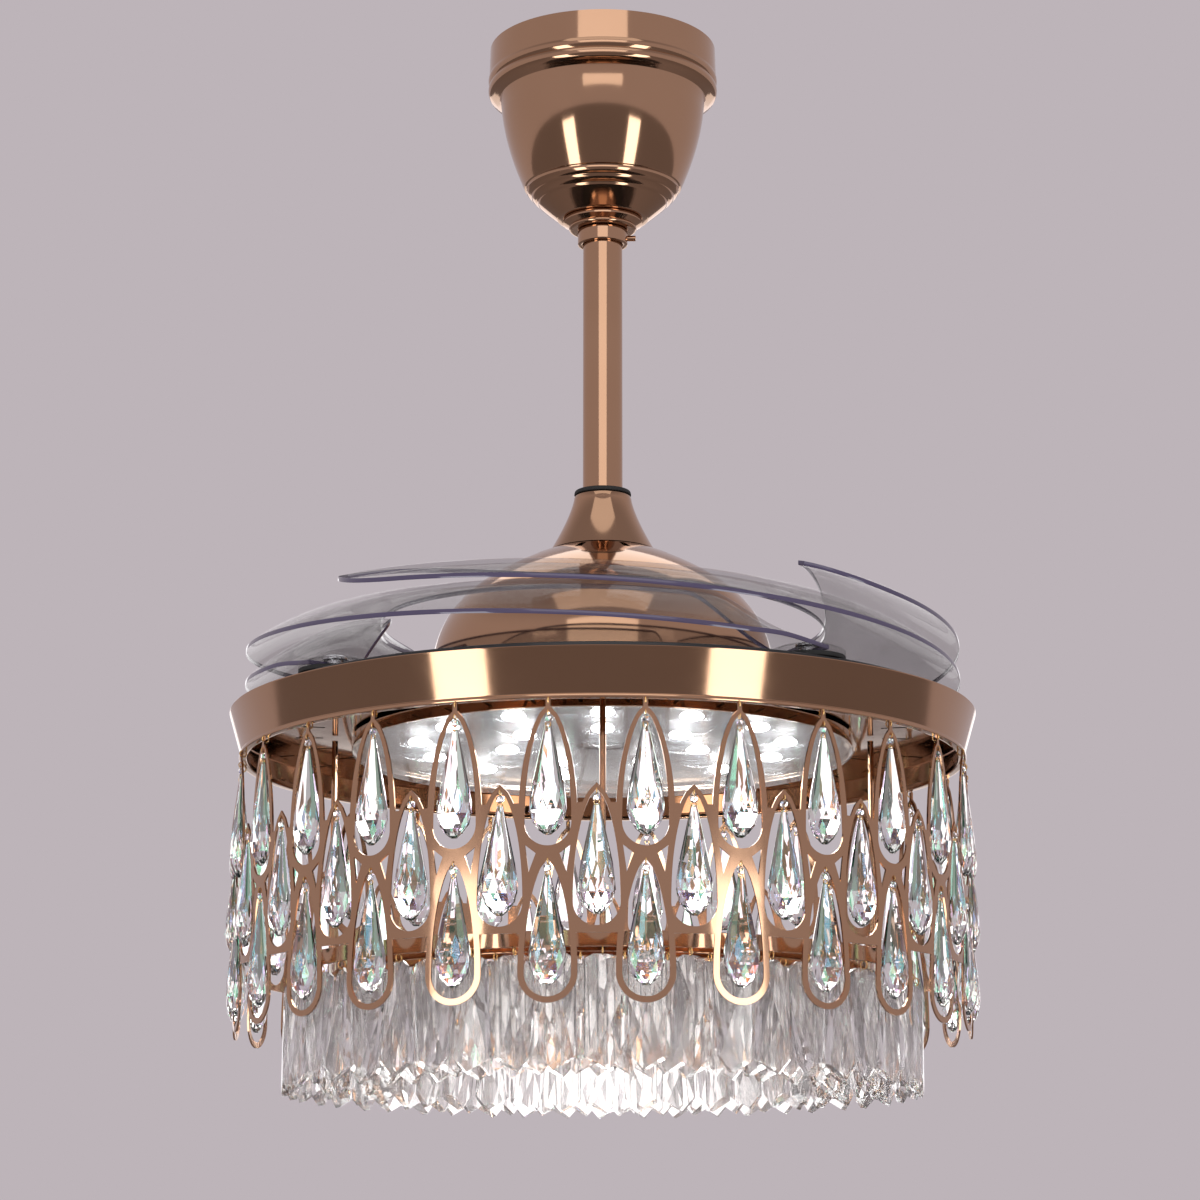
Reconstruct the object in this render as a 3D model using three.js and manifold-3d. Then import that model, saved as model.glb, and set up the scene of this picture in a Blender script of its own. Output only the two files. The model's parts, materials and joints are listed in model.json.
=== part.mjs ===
// Ceiling fan with four folding blades over a round crystal lamp. Millimetres, +Z up.
// The origin is the middle of the bracket's ceiling face, and all the rest hangs below it.
import * as THREE from "three";
import { mergeVertices } from "three/addons/utils/BufferGeometryUtils.js";
import Module from "manifold-3d";

const wasm = await Module();
wasm.setup();

// ---- Driving dimensions ------------------------------------------------------------------
const clearance = 0.3; // between pieces that sit on or in each other
const runningGap = 2; // between turning pieces and fixed ones
const sheet = 1.2; // spun and stamped sheet metal
const plateMetal = 1.5; // pressed plates

const overshoot = 1; // how far a cutting tool runs past a face

// Lamp ring, which sets the size of the plate, the blades and the screen
const ringTopRadius = 250;
const ringTaper = 8.2; // smaller at its bottom edge
const ringBottomRadius = ringTopRadius - ringTaper;
const ringHeight = 28.5;
const lipProud = 1.2;
const ringLipRadius = ringBottomRadius + lipProud;
const ringLipHeight = 2.5;
const ringFlange = 4; // width of its turned-in bottom edge

// Ceiling bracket, a strap with a cradle for the ball
const bracketLength = 96;
const bracketWidth = 34;
const bracketThickness = 3;
const bracketHoleRadius = 2.75;
const bracketHoleSpacing = 76;
const bracketArmWidth = 24;
const bracketArmSpacing = 64; // between the middles of the two arms
const cradleRadius = 33;
const cradleHoleRadius = 20.2;
const cradleThickness = 4;
const cradleDrop = 44;
const ballRadius = 24;
const ballGap = 1; // between ball and cradle
const ballTopHeight = 12; // flat top above the ball's centre
const ballBottomDepth = 20.4; // flat bottom below it
const ballPinRadius = 3;
const ballPinLength = 43;
const controlBox = new THREE.Vector3(14, 52, 22);
const screwHeadRoom = 9; // free height under the strap for its screws

// Canopy that covers the bracket
const ceilingGap = 2.5;
const canopyRadius = 79;
const canopyHeight = 132;
const canopyWall = 1.7;
const canopyBandHeight = 19.5;
const beadHeight = 7;
const beadDepth = 1.2;
const bowlTopRadius = 71;
const bowlTopDrop = 38;
const bowlCurve = 1.7; // powers of the bowl's curve above and below its groove
const footCurve = 1.2;
const grooveRadius = 54.5;
const grooveDrop = 101;
const grooveDepth = 1.6;
const bowlEndRadius = 31;
const lipRadius = 27.5;
const lipHeight = 4;
const canopyHoleRadius = 15.6;
const collarRadius = 17.3;
const collarHeight = 10.4;
const setScrewRadius = 2;
const setScrewLength = 9;

// Rod and coupling
const rodRadius = 13.6;
const rodWall = 2;
const rodProud = 1.2; // rod above the ball
const rodBottomDrop = 350;
const gasketRadius = 19.6;
const gasketHeight = 3;
const coneTopDrop = 325;
const coneHeight = 39;
const coneTopRadius = 19.5;
const coneBottomRadius = 35.8;
const coneShoulder = 1.6; // height of its rounded top edge
const coneFlare = 1.35; // power of its flare, 1 for a straight side
const yokeRadius = 17.5;
const yokeFlangeRadius = 33;
const yokeFlangeThickness = 4;
const hitchPinRadius = 3;
const hitchPinLength = 36;
const hitchPinRise = 9; // above the rod's lower end

// Motor
const domeRadius = 117;
const domeHeight = 108;
const domeHoleRadius = 18;
const ventCount = 10;
const ventLength = 13;
const ventWidth = 4;
const ventRadius = 47;
const domeGap = 3; // between its rim and the blade plate
const domeStations = [1, 0.66, 0.42, 0.24, 0.08, 0]; // shares of the way down, from the rim up
const domeCurve = 2.4; // power of its curve, higher for fuller shoulders
const domeRimPull = 0.28; // share of its height that gathers towards the rim
const shaftRadius = 10;
const shaftBoreRadius = 6;
const rotorInset = 31; // inside the dome's rim
const rotorRadius = domeRadius - rotorInset;
const rotorWall = 3;
const rotorTopGap = 26;
const rotorHubRadius = 24;
const bearingRadius = 17.5;
const bearingHeight = 8;
const magnetThickness = 3;
const airGap = 2;
const statorHeight = 34;
const statorPoles = 12;
const statorCoreRadius = 46;
const poleFoot = 0.3; // half width of a pole at its foot and its face, in shares of the pitch
const poleFace = 0.4;

// Plate that carries the blades, with the gears under it
const plateInset = 13; // its edge inside the ring's top edge
const plateRadius = ringTopRadius - plateInset;
const plateThickness = 2;
const plateRimDepth = 11.7;
const plateRimWall = 2;
const plateHoleRadius = 22;
const plateEdge = 1; // its bevelled edge
const guideGap = 1; // round and above the ring that guides the large gear
const toothSize = 3.5; // gear module
const bladeGearTeeth = 10;
const addendum = 0.75 * toothSize;
const dedendum = 0.95 * toothSize;
const bladeGearRadius = (toothSize * bladeGearTeeth) / 2;
const pivotRoom = plateRadius - plateRimWall - bladeGearRadius - addendum;
const syncGearTeeth = Math.floor((2 * pivotRoom) / toothSize) - bladeGearTeeth;
const syncSectorTeeth = 8;
const sectorLead = 1.5; // teeth of a sector past the line through its pivot
const sectorGapCorners = 5; // corners of the plain rim between two sectors
const gearThickness = 4;
const syncGearWidth = 12;
const springThickness = 1.6;
const springRadius = 13;
const springInnerRadius = 7;
const pinRadius = 5;
const pinHeadRadius = 8;
const pinHeadHeight = 2.6;

// Blades, each an arc over the plate
const bladeCount = 4;
const firstPivotAngle = 37; // degrees from +X
const bladeArc = 180; // degrees from root to tip
const bladeInset = 10; // outer edge inside the ring's top edge
const bladeWidth = 90;
const bladeTipInset = 32; // tip inside the outer edge
const bladeOuterRadius = ringTopRadius - bladeInset;
const bladeInnerRadius = bladeOuterRadius - bladeWidth;
const bladeTipRadius = bladeOuterRadius - bladeTipInset;
const bladeTipWidth = 6;
const bladeTipOuterShare = 0.12; // shares of its length in which each edge runs to the tip
const bladeTipInnerShare = 0.32;
const bladeTipCurve = 2.6; // power of those edges' curves
const bladeRootShare = 0.09; // share of its length that widens from the hub
const bladeRootOutside = 20; // root's edges, out and in from the pivot
const bladeRootInside = 22;
const bladeThickness = 3;
const bladeOuterHeight = 5; // outer and inner edges' undersides over the plate at the root
const bladeInnerHeight = 49;
const bladeOuterRise = 45; // and what each climbs from root to tip
const bladeInnerRise = 13;
const bladeCamber = 10;
const bladeHubRadius = 24;
const bladeHubHeight = 9;
const bladeStations = [0, 0.025, 0.05, 0.075, 0.1, 0.2, 0.32, 0.45, 0.58, 0.7, 0.79, 0.86, 0.91,
  0.95, 0.98, 1]; // shares of its length with a section

// Lamp
const plateProud = 5; // plate above the ring's top edge
const panDepth = 12.5; // pan below the ring's top edge
const lampInset = 75; // its edge inside the ring's lip
const lampRadius = ringLipRadius - lampInset;
const lampBaseHeight = 8;
const lampBoardHeight = 1.6;
const lampBoardInset = 8;
const lampBoardRadius = lampRadius - lampBoardInset;
const lensHeight = 3.6;
const nutRadius = 15;
const nutHeight = 3;
const lampHoleRadius = 18; // clears the nut

// Screen of teardrop windows, with a crystal in each
const columns = 26;
const firstColumnAngle = -153.15; // degrees from +X
const screenRadius = ringLipRadius;
const screenTopGap = 4;
const windowHeight = 82;
const windowHalfWidth = 14.2;
const stripWidth = 3.8;
const middleRowDrop = 48;
const lowerRowDrop = 90;
const webDrop = 60; // where the strips run into each other
const webBottomDrop = 138; // where they part again
const tabWidth = 3;
const dropLength = 78;
const dropHalfWidth = 11.8;
const dropThickness = 12;
const dropBelly = 0.76; // widest point, in shares of the length from the tip
const wireSize = 1.2; // wire that the crystals hang on
const wireDrop = 9; // wire below the crystal's tip
const wireSetback = 9.6; // wire behind the screen between two crystals

// Prisms on hoops inside the screen
const hoopDrop = 167; // below the ring's top edge
const hoopHeight = 10;
const hoopThickness = 1.6;
const tierInset = 37; // outermost tier inside the screen
const tierSpacing = 26;
const tierPrisms = [48, 42, 36];
const tierRadii = tierPrisms.map((_, i) => screenRadius - tierInset - i * tierSpacing);
const prismLength = 77;
const prismThickness = 9;
const prismGapShare = 0.15; // of the pitch along the tier
const prismTipDrop = 4;
const railHeight = 2;
const hangerRodSize = 4;
const spokeThickness = 1.6;
const hangerRodCount = 4;

// ---- Materials ---------------------------------------------------------------------------
function finish(color, roughness, metalness, opacity = 1) {
  return () => new THREE.MeshStandardMaterial({
    color, roughness, metalness, opacity, transparent: opacity < 1,
  });
}
const roseGold = finish(0xc98a6b, 0.16, 1);
const steel = finish(0xa9adb2, 0.35, 1);
const zincSteel = finish(0xb9b7ae, 0.45, 1);
const blackRubber = finish(0x141414, 0.8, 0);
const blackPaint = finish(0x1b1b1d, 0.5, 0);
const motorIron = finish(0x3c3d40, 0.55, 0.8);
const copper = finish(0xb56b3a, 0.4, 1);
const nylon = finish(0xe6e2d6, 0.55, 0);
const boxPlastic = finish(0xefefec, 0.5, 0);
const smokyPlastic = finish(0xb4a9b8, 0.08, 0, 0.45);
const mirrorGold = finish(0xd8a884, 0.08, 1);
const boardWhite = finish(0xf4f5f7, 0.5, 0);
const clearPlastic = finish(0xf6fbff, 0.1, 0, 0.4);
const crystal = finish(0xf2f6ff, 0.02, 0, 0.4);

// ---- Geometry helpers --------------------------------------------------------------------
const fullTurn = 2 * Math.PI;
const smallRound = 16; // sides of a small round piece
const shellRound = 20; // sides of the canopy and the motor dome
const largeRound = 32; // sides of a large one
const holeRound = 8; // sides of a screw or pin hole

function radians(degrees) {
  return (degrees * Math.PI) / 180;
}

// A ring or shell turned about Z, from a closed outline of [radius, height] points.
function turned(outline, sides = smallRound) {
  const area = outline.reduce((sum, [r, z], i) => {
    const [nextR, nextZ] = outline[(i + 1) % outline.length];
    return sum + r * nextZ - nextR * z;
  }, 0);
  const loop = area > 0 ? outline : [...outline].reverse();
  const points = [...loop, loop[0]].map(([r, z]) => new THREE.Vector2(r, z));
  return new THREE.LatheGeometry(points, sides).rotateX(Math.PI / 2);
}

function ring(inner, outer, top, bottom, sides = smallRound) {
  return turned([[inner, bottom], [outer, bottom], [outer, top], [inner, top]], sides);
}

function cylinder(radius, top, bottom, sides = smallRound) {
  return new THREE.CylinderGeometry(radius, radius, top - bottom, sides)
    .rotateX(Math.PI / 2).translate(0, 0, (top + bottom) / 2);
}

// A few-sided hole that a round pin of this radius turns in.
function turningHole(radius, top, bottom) {
  const flatRadius = (radius + clearance) / Math.cos(Math.PI / holeRound);
  return cylinder(flatRadius, top, bottom, holeRound);
}

function box(x, y, z) {
  return new THREE.BoxGeometry(x, y, z);
}

// A flat outline of [x, y] points, standing on z = 0.
function plate(outline, height) {
  const shape = new THREE.Shape(outline.map(([x, y]) => new THREE.Vector2(x, y)));
  return new THREE.ExtrudeGeometry(shape, { depth: height, bevelEnabled: false });
}

// The outer outline of a spun shell, from rim to hole, closed by its inner wall.
function shellOutline(outer, wall) {
  const inner = outer.map(([r, z], i) => {
    const [r0, z0] = outer[Math.max(i - 1, 0)];
    const [r1, z1] = outer[Math.min(i + 1, outer.length - 1)];
    const length = Math.hypot(r1 - r0, z1 - z0);
    return [r - (wall * (z1 - z0)) / length, i ? z + (wall * (r1 - r0)) / length : z];
  });
  return [...outer, ...inner.reverse()];
}

function solidOf(geometry) {
  const bare = geometry.clone();
  bare.deleteAttribute("normal");
  bare.deleteAttribute("uv");
  const merged = mergeVertices(bare, 1e-4);
  return new wasm.Manifold(new wasm.Mesh({
    numProp: 3,
    vertProperties: merged.attributes.position.array,
    triVerts: new Uint32Array(merged.index.array),
  }));
}

function geometryOf(solid) {
  const { vertProperties, triVerts } = solid.getMesh();
  return new THREE.BufferGeometry()
    .setAttribute("position", new THREE.BufferAttribute(vertProperties, 3))
    .setIndex(new THREE.BufferAttribute(triVerts, 1));
}

function joined(...pieces) {
  return geometryOf(pieces.map(solidOf).reduce((sum, piece) => sum.add(piece)));
}

function cut(body, ...tools) {
  const cutter = tools.map(solidOf).reduce((sum, tool) => sum.add(tool));
  return geometryOf(solidOf(body).subtract(cutter));
}

// Repeats a cell round Z as one closed ring. The cell is drawn flat, x along the ring, y
// outwards and z up, one pitch wide, and is cut square at both ends, where copies join.
function ringOfCells(cell, radius, count, firstAngle) {
  const half = (Math.PI * radius) / count;
  cell.computeBoundingBox();
  const middle = cell.boundingBox.getCenter(new THREE.Vector3());
  const block = box(2 * half, radius, 4 * radius).translate(0, middle.y, middle.z);
  const place = geometryOf(solidOf(cell).intersect(solidOf(block))).toNonIndexed()
    .attributes.position;
  const seam = (i) => (Math.abs(place.getX(i)) > half - 1e-3 ? Math.sign(place.getX(i)) : 0);
  const points = [];
  for (let copy = 0; copy < count; copy += 1) {
    for (let i = 0; i < place.count; i += 3) {
      const sides = [seam(i), seam(i + 1), seam(i + 2)];
      if (sides[0] && sides.every((side) => side === sides[0])) continue;
      for (const k of [0, 2, 1]) { // x and y change places, so the faces are turned back
        const x = sides[k] ? sides[k] * half : place.getX(i + k);
        const angle = firstAngle + (copy * fullTurn) / count + x / radius;
        const r = radius + place.getY(i + k);
        points.push(r * Math.cos(angle), r * Math.sin(angle), place.getZ(i + k));
      }
    }
  }
  const whole = new THREE.BufferGeometry()
    .setAttribute("position", new THREE.Float32BufferAttribute(points, 3));
  return mergeVertices(whole, 1e-3);
}

function smooth(t) {
  const s = THREE.MathUtils.clamp(t, 0, 1);
  return s * s * (3 - 2 * s);
}

const fan = new THREE.Group();

function add(name, geometry, material, parent = fan) {
  const mesh = new THREE.Mesh(geometry.index ? geometry.toNonIndexed() : geometry, material());
  mesh.name = name;
  mesh.geometry.computeVertexNormals();
  parent.add(mesh);
  return mesh;
}

// ---- Heights, worked out from the ceiling down --------------------------------------------
const ballCentre = -cradleDrop + Math.sqrt(ballRadius ** 2 - cradleHoleRadius ** 2) + ballGap;
const canopyTop = -ceilingGap;
const canopyBottom = canopyTop - canopyHeight;
const coneTop = -coneTopDrop;
const domeTop = coneTop - coneHeight - clearance;
const domeRim = domeTop - domeHeight;
const plateTop = domeRim - domeGap;
const plateBottom = plateTop - plateThickness;
const rimBottom = plateTop - plateRimDepth;
const ringTop = plateTop - plateProud;
const ringBottom = ringTop - ringHeight;
const lipBottom = ringBottom - ringLipHeight;
const panTop = ringTop - panDepth;
const screenTop = lipBottom - screenTopGap;
const hoopTop = ringTop - hoopDrop;

// ---- Ceiling bracket and control boxes ----------------------------------------------------
function ceilingBracket() {
  const strap = box(bracketLength, bracketWidth, bracketThickness)
    .translate(0, 0, -bracketThickness / 2);
  const armLength = cradleDrop + cradleThickness - bracketThickness / 2;
  const arms = [-1, 1].map((side) => box(bracketThickness, bracketArmWidth, armLength)
    .translate((side * bracketArmSpacing) / 2, 0, -(armLength + bracketThickness) / 2));
  const cradle = ring(cradleHoleRadius, cradleRadius, -cradleDrop, -cradleDrop - cradleThickness);
  const holes = [-1, 1].map((side) => cylinder(bracketHoleRadius, overshoot,
    -bracketThickness - overshoot, holeRound).translate((side * bracketHoleSpacing) / 2, 0, 0));
  return cut(joined(strap, ...arms, cradle), ...holes);
}
add("ceiling_bracket", ceilingBracket(), zincSteel);

for (const [name, side] of [["receiver_box", 1], ["led_driver", -1]]) {
  const tray = box(controlBox.x, controlBox.y, controlBox.z);
  const armFace = (bracketArmSpacing + bracketThickness) / 2;
  add(name, tray, boxPlastic).position.set(side * (armFace + clearance + controlBox.x / 2), 0,
    -bracketThickness - screwHeadRoom - controlBox.z / 2);
}

// ---- Hanging assembly: ball, rod and coupling ---------------------------------------------
const rodTop = ballCentre + ballTopHeight + rodProud;

function hangerBall() {
  const sphere = new THREE.SphereGeometry(ballRadius, smallRound, 8).rotateX(Math.PI / 2);
  const topCut = cylinder(ballRadius * 2, ballRadius * 2, ballTopHeight);
  const bottomCut = cylinder(ballRadius * 2, -ballBottomDepth, -ballRadius * 2);
  const bore = cylinder(rodRadius + clearance, ballRadius * 2, -ballRadius * 2);
  const pinHole = cylinder(ballPinRadius + clearance, ballRadius * 2, -ballRadius * 2, holeRound)
    .rotateX(Math.PI / 2);
  return cut(sphere, topCut, bottomCut, bore, pinHole).translate(0, 0, ballCentre);
}
add("hanger_ball", hangerBall(), blackRubber);

function crossHole(radius, height) {
  return cylinder(radius + clearance, rodRadius * 2, -rodRadius * 2, holeRound)
    .rotateX(Math.PI / 2).translate(0, 0, height);
}

function crossPin(radius, length, height) {
  return cylinder(radius, length / 2, -length / 2, holeRound).rotateX(Math.PI / 2)
    .translate(0, 0, height);
}
add("ball_pin", crossPin(ballPinRadius, ballPinLength, ballCentre), steel);

const hitchHeight = -rodBottomDrop + hitchPinRise;
function downrod() {
  const tube = ring(rodRadius - rodWall, rodRadius, rodTop, -rodBottomDrop);
  return cut(tube, crossHole(ballPinRadius, ballCentre), crossHole(hitchPinRadius, hitchHeight));
}
add("downrod", downrod(), roseGold);

add("rod_gasket", ring(rodRadius + clearance, gasketRadius, coneTop + gasketHeight + clearance,
  coneTop + clearance), blackRubber);

function couplingCover() {
  const steps = 4;
  const flare = Array.from({ length: steps + 1 }, (_, i) => {
    const t = i / steps;
    const radius = coneTopRadius + (coneBottomRadius - coneTopRadius) * t ** coneFlare;
    return [radius, coneTop - coneShoulder - (coneHeight - coneShoulder) * t];
  }).reverse();
  return turned(shellOutline([...flare, [coneTopRadius - sheet, coneTop],
    [rodRadius + clearance, coneTop]], sheet));
}
add("coupling_cover", couplingCover(), roseGold);

const flangeTop = domeTop - sheet - clearance;
function motorYoke() {
  const sleeveTop = coneTop - sheet - runningGap;
  const rodSeat = -rodBottomDrop - clearance;
  const body = turned([
    [rodRadius + clearance, sleeveTop],
    [yokeRadius, sleeveTop],
    [yokeRadius, flangeTop],
    [yokeFlangeRadius, flangeTop],
    [yokeFlangeRadius, flangeTop - yokeFlangeThickness],
    [shaftRadius + clearance, flangeTop - yokeFlangeThickness],
    [shaftRadius + clearance, rodSeat],
    [rodRadius + clearance, rodSeat],
  ]);
  return cut(body, crossHole(hitchPinRadius, hitchHeight));
}
add("motor_yoke", motorYoke(), motorIron);
add("hitch_pin", crossPin(hitchPinRadius, hitchPinLength, hitchHeight), steel);

// ---- Canopy and its collar ----------------------------------------------------------------
function canopyShell() {
  const bead = (drop) => [
    [canopyRadius, canopyTop - drop],
    [canopyRadius + beadDepth, canopyTop - drop - beadHeight / 2],
    [canopyRadius, canopyTop - drop - beadHeight],
  ];
  const bowl = [0, 0.35, 0.7, 1].map((t) => [
    grooveRadius + (bowlTopRadius - grooveRadius) * (1 - t ** bowlCurve),
    canopyTop - bowlTopDrop - (grooveDrop - bowlTopDrop) * t,
  ]);
  const endDrop = canopyHeight - 2 * lipHeight;
  const foot = [0, 1].map((t) => [
    grooveRadius - grooveDepth - (grooveRadius - grooveDepth - bowlEndRadius) * t ** footCurve,
    canopyTop - grooveDrop - grooveDepth - (endDrop - grooveDrop - grooveDepth) * t,
  ]);
  const lip = [
    [lipRadius, canopyTop - endDrop],
    [lipRadius, canopyTop - endDrop - lipHeight],
    [lipRadius - lipHeight, canopyBottom],
    [canopyHoleRadius, canopyBottom],
  ];
  const outer = [[canopyRadius, canopyTop], ...bead(canopyBandHeight),
    ...bead(canopyBandHeight + beadHeight).slice(1), ...bowl, ...foot, ...lip];
  const inner = [
    [canopyHoleRadius, canopyBottom + sheet],
    [lipRadius - lipHeight - sheet, canopyBottom + sheet],
    [lipRadius - sheet, canopyTop - endDrop + sheet],
    [bowlEndRadius - canopyWall, canopyTop - endDrop + canopyWall],
    ...[bowl[3], bowl[1], bowl[0]].map(([r, z]) => [r - canopyWall, z + sheet]),
    [canopyRadius - canopyWall, canopyTop - canopyBandHeight - 2 * beadHeight + sheet],
    [canopyRadius - canopyWall, canopyTop],
  ];
  return turned([...outer, ...inner], shellRound);
}
add("canopy", canopyShell(), roseGold);

const collarTop = canopyBottom - clearance;
const screwHeight = collarTop - collarHeight / 2;
const screwHole = cylinder(setScrewRadius + clearance, collarRadius * 2, rodRadius, holeRound)
  .rotateY(Math.PI / 2).translate(0, 0, screwHeight);
add("canopy_collar", cut(ring(rodRadius + clearance, collarRadius, collarTop,
  collarTop - collarHeight), screwHole), roseGold);
add("collar_screw", cylinder(setScrewRadius, rodRadius + clearance + setScrewLength,
  rodRadius + clearance, holeRound).rotateY(Math.PI / 2).translate(0, 0, screwHeight), roseGold);

// ---- Motor ---------------------------------------------------------------------------------
function motorDome() {
  const curve = domeStations.map((t) => [
    domeRadius - (domeRadius - coneBottomRadius) * (1 - t) ** domeCurve,
    domeTop - domeHeight * (t * (1 - domeRimPull) + domeRimPull * t ** 3),
  ]);
  const wall = turned(shellOutline([...curve, [domeHoleRadius, domeTop]], sheet), shellRound);
  const slots = Array.from({ length: ventCount }, (_, i) => box(ventLength, ventWidth, domeHeight)
    .translate(ventRadius, 0, domeTop).rotateZ((i * fullTurn) / ventCount));
  return cut(wall, ...slots);
}
add("motor_dome", motorDome(), roseGold);

const rotorTop = flangeTop - yokeFlangeThickness - rotorTopGap;
const rotorBottom = plateTop + clearance;
const rotorSplit = (rotorTop + rotorBottom) / 2;
const shaftTop = -rodBottomDrop - 2 * clearance;
const shaftBottom = panTop - plateMetal - clearance - nutHeight;
add("motor_shaft", ring(shaftBoreRadius, shaftRadius, shaftTop, shaftBottom), steel);

const bearingSeat = bearingRadius + clearance;
add("rotor_cap", turned([
  [shaftRadius + runningGap, rotorTop],
  [rotorRadius, rotorTop],
  [rotorRadius, rotorSplit + clearance],
  [rotorRadius - rotorWall, rotorSplit + clearance],
  [rotorRadius - rotorWall, rotorTop - rotorWall],
  [rotorHubRadius, rotorTop - rotorWall],
  [rotorHubRadius, rotorTop - rotorWall - bearingHeight],
  [bearingSeat, rotorTop - rotorWall - bearingHeight],
  [bearingSeat, rotorTop - rotorWall],
  [shaftRadius + runningGap, rotorTop - rotorWall],
], shellRound), motorIron);
add("rotor_base", turned([
  [shaftRadius + runningGap, rotorBottom],
  [rotorRadius, rotorBottom],
  [rotorRadius, rotorSplit],
  [rotorRadius - rotorWall, rotorSplit],
  [rotorRadius - rotorWall, rotorBottom + rotorWall],
  [rotorHubRadius, rotorBottom + rotorWall],
  [rotorHubRadius, rotorBottom + rotorWall + bearingHeight],
  [bearingSeat, rotorBottom + rotorWall + bearingHeight],
  [bearingSeat, rotorBottom + rotorWall],
  [shaftRadius + runningGap, rotorBottom + rotorWall],
], shellRound), motorIron);
const bearingInner = shaftRadius + clearance;
add("upper_bearing", ring(bearingInner, bearingRadius, rotorTop - rotorWall - clearance,
  rotorTop - rotorWall - bearingHeight), steel);
add("lower_bearing", ring(bearingInner, bearingRadius, rotorBottom + rotorWall + bearingHeight,
  rotorBottom + rotorWall + clearance), steel);

const magnetOuter = rotorRadius - rotorWall - clearance;
const magnetInner = magnetOuter - magnetThickness;
add("rotor_magnets", ring(magnetInner, magnetOuter, rotorSplit + statorHeight / 2,
  rotorSplit - statorHeight / 2, shellRound), motorIron);

function stator() {
  const outline = [];
  const radius = magnetInner - airGap;
  const pole = fullTurn / statorPoles;
  for (let i = 0; i < statorPoles; i += 1) {
    for (const [r, share] of [[statorCoreRadius, -poleFoot], [radius, -poleFace],
      [radius, poleFace], [statorCoreRadius, poleFoot]]) {
      const angle = (i + share) * pole;
      outline.push([r * Math.cos(angle), r * Math.sin(angle)]);
    }
  }
  const core = plate(outline, statorHeight).translate(0, 0, rotorSplit - statorHeight / 2);
  const bore = cylinder(shaftRadius + clearance, 0, -statorHeight * 2)
    .translate(0, 0, rotorSplit + statorHeight);
  return cut(core, bore);
}
add("stator", stator(), copper);

// ---- Blade plate and gears ------------------------------------------------------------------
const syncGearRadius = (toothSize * syncGearTeeth) / 2;
const pivotRadius = bladeGearRadius + syncGearRadius;
const gearBottom = rimBottom + clearance;
const gearTop = gearBottom + gearThickness;
const syncBoreRadius = syncGearRadius - dedendum - syncGearWidth;
const pivots = Array.from({ length: bladeCount }, (_, i) =>
  radians(firstPivotAngle) + (i * fullTurn) / bladeCount);

// One tooth as [radius, angle] corners; the shares are of a pitch, at root and tip.
function tooth(pitchRadius, teeth, middle) {
  const pitch = fullTurn / teeth;
  return [[-dedendum, -0.3], [addendum, -0.1], [addendum, 0.1], [-dedendum, 0.3]].map(
    ([depth, share]) => [pitchRadius + depth, middle + share * pitch]);
}

function polar(corners) {
  return corners.map(([r, angle]) => [r * Math.cos(angle), r * Math.sin(angle)]);
}

function bladeGear() {
  const corners = Array.from({ length: bladeGearTeeth }, (_, i) =>
    tooth(bladeGearRadius, bladeGearTeeth, Math.PI + (i * fullTurn) / bladeGearTeeth)).flat();
  const bore = cylinder(pinRadius + clearance, gearTop + overshoot,
    gearBottom - overshoot, holeRound);
  return cut(plate(polar(corners), gearThickness).translate(0, 0, gearBottom), bore);
}

function syncGear() {
  const pitch = fullTurn / syncGearTeeth;
  const corners = [];
  for (const pivot of pivots) {
    for (let i = 0; i < syncSectorTeeth; i += 1) {
      const step = sectorLead - (syncSectorTeeth - 1) + i;
      corners.push(...tooth(syncGearRadius, syncGearTeeth, pivot + step * pitch));
    }
    const root = syncGearRadius - dedendum;
    const span = fullTurn / bladeCount - (syncSectorTeeth - 1) * pitch;
    for (let i = 1; i <= sectorGapCorners; i += 1) {
      const share = i / (sectorGapCorners + 1);
      corners.push([root, pivot + sectorLead * pitch + span * share]);
    }
  }
  const bore = cylinder(syncBoreRadius, gearTop + overshoot, gearBottom - overshoot,
    largeRound);
  return cut(plate(polar(corners), gearThickness).translate(0, 0, gearBottom), bore);
}
add("sync_gear", syncGear(), nylon);

function bladePlate() {
  const guideOuter = syncBoreRadius - guideGap;
  const guideBottom = gearBottom + guideGap;
  const rimInner = plateRadius - plateRimWall;
  const body = turned([
    [plateHoleRadius, plateTop],
    [plateRadius - plateEdge, plateTop],
    [plateRadius, plateTop - plateEdge],
    [plateRadius, rimBottom],
    [rimInner, rimBottom],
    [rimInner, plateBottom],
    [guideOuter, plateBottom],
    [guideOuter, guideBottom],
    [guideOuter - plateRimWall, guideBottom],
    [guideOuter - plateRimWall, plateBottom],
    [plateHoleRadius, plateBottom],
  ], largeRound);
  const holes = pivots.map((angle) => turningHole(pinRadius, plateTop + overshoot,
    plateBottom - overshoot).translate(pivotRadius, 0, 0).rotateZ(angle));
  return cut(body, ...holes);
}
add("blade_plate", bladePlate(), blackPaint);

const coverTop = rimBottom - clearance;
const coverBottom = coverTop - sheet;
add("gear_cover", ring(plateHoleRadius, plateRadius, coverTop, coverBottom, largeRound),
  blackPaint);

// ---- Blades ---------------------------------------------------------------------------------
const hubBottom = plateTop + clearance;
const hubTop = hubBottom + bladeHubHeight;

// Height of a blade's underside: a cambered sheet whose inner edge stands higher.
function bladeHeight(along, radius, rootShare) {
  const across = (bladeOuterRadius - radius) / bladeWidth;
  const outer = bladeOuterHeight + bladeOuterRise * along;
  const inner = bladeInnerHeight + bladeInnerRise * along;
  const camber = bladeCamber * 4 * across * (1 - across);
  return plateTop + outer + ((inner - outer) * across + camber) * rootShare;
}

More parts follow.
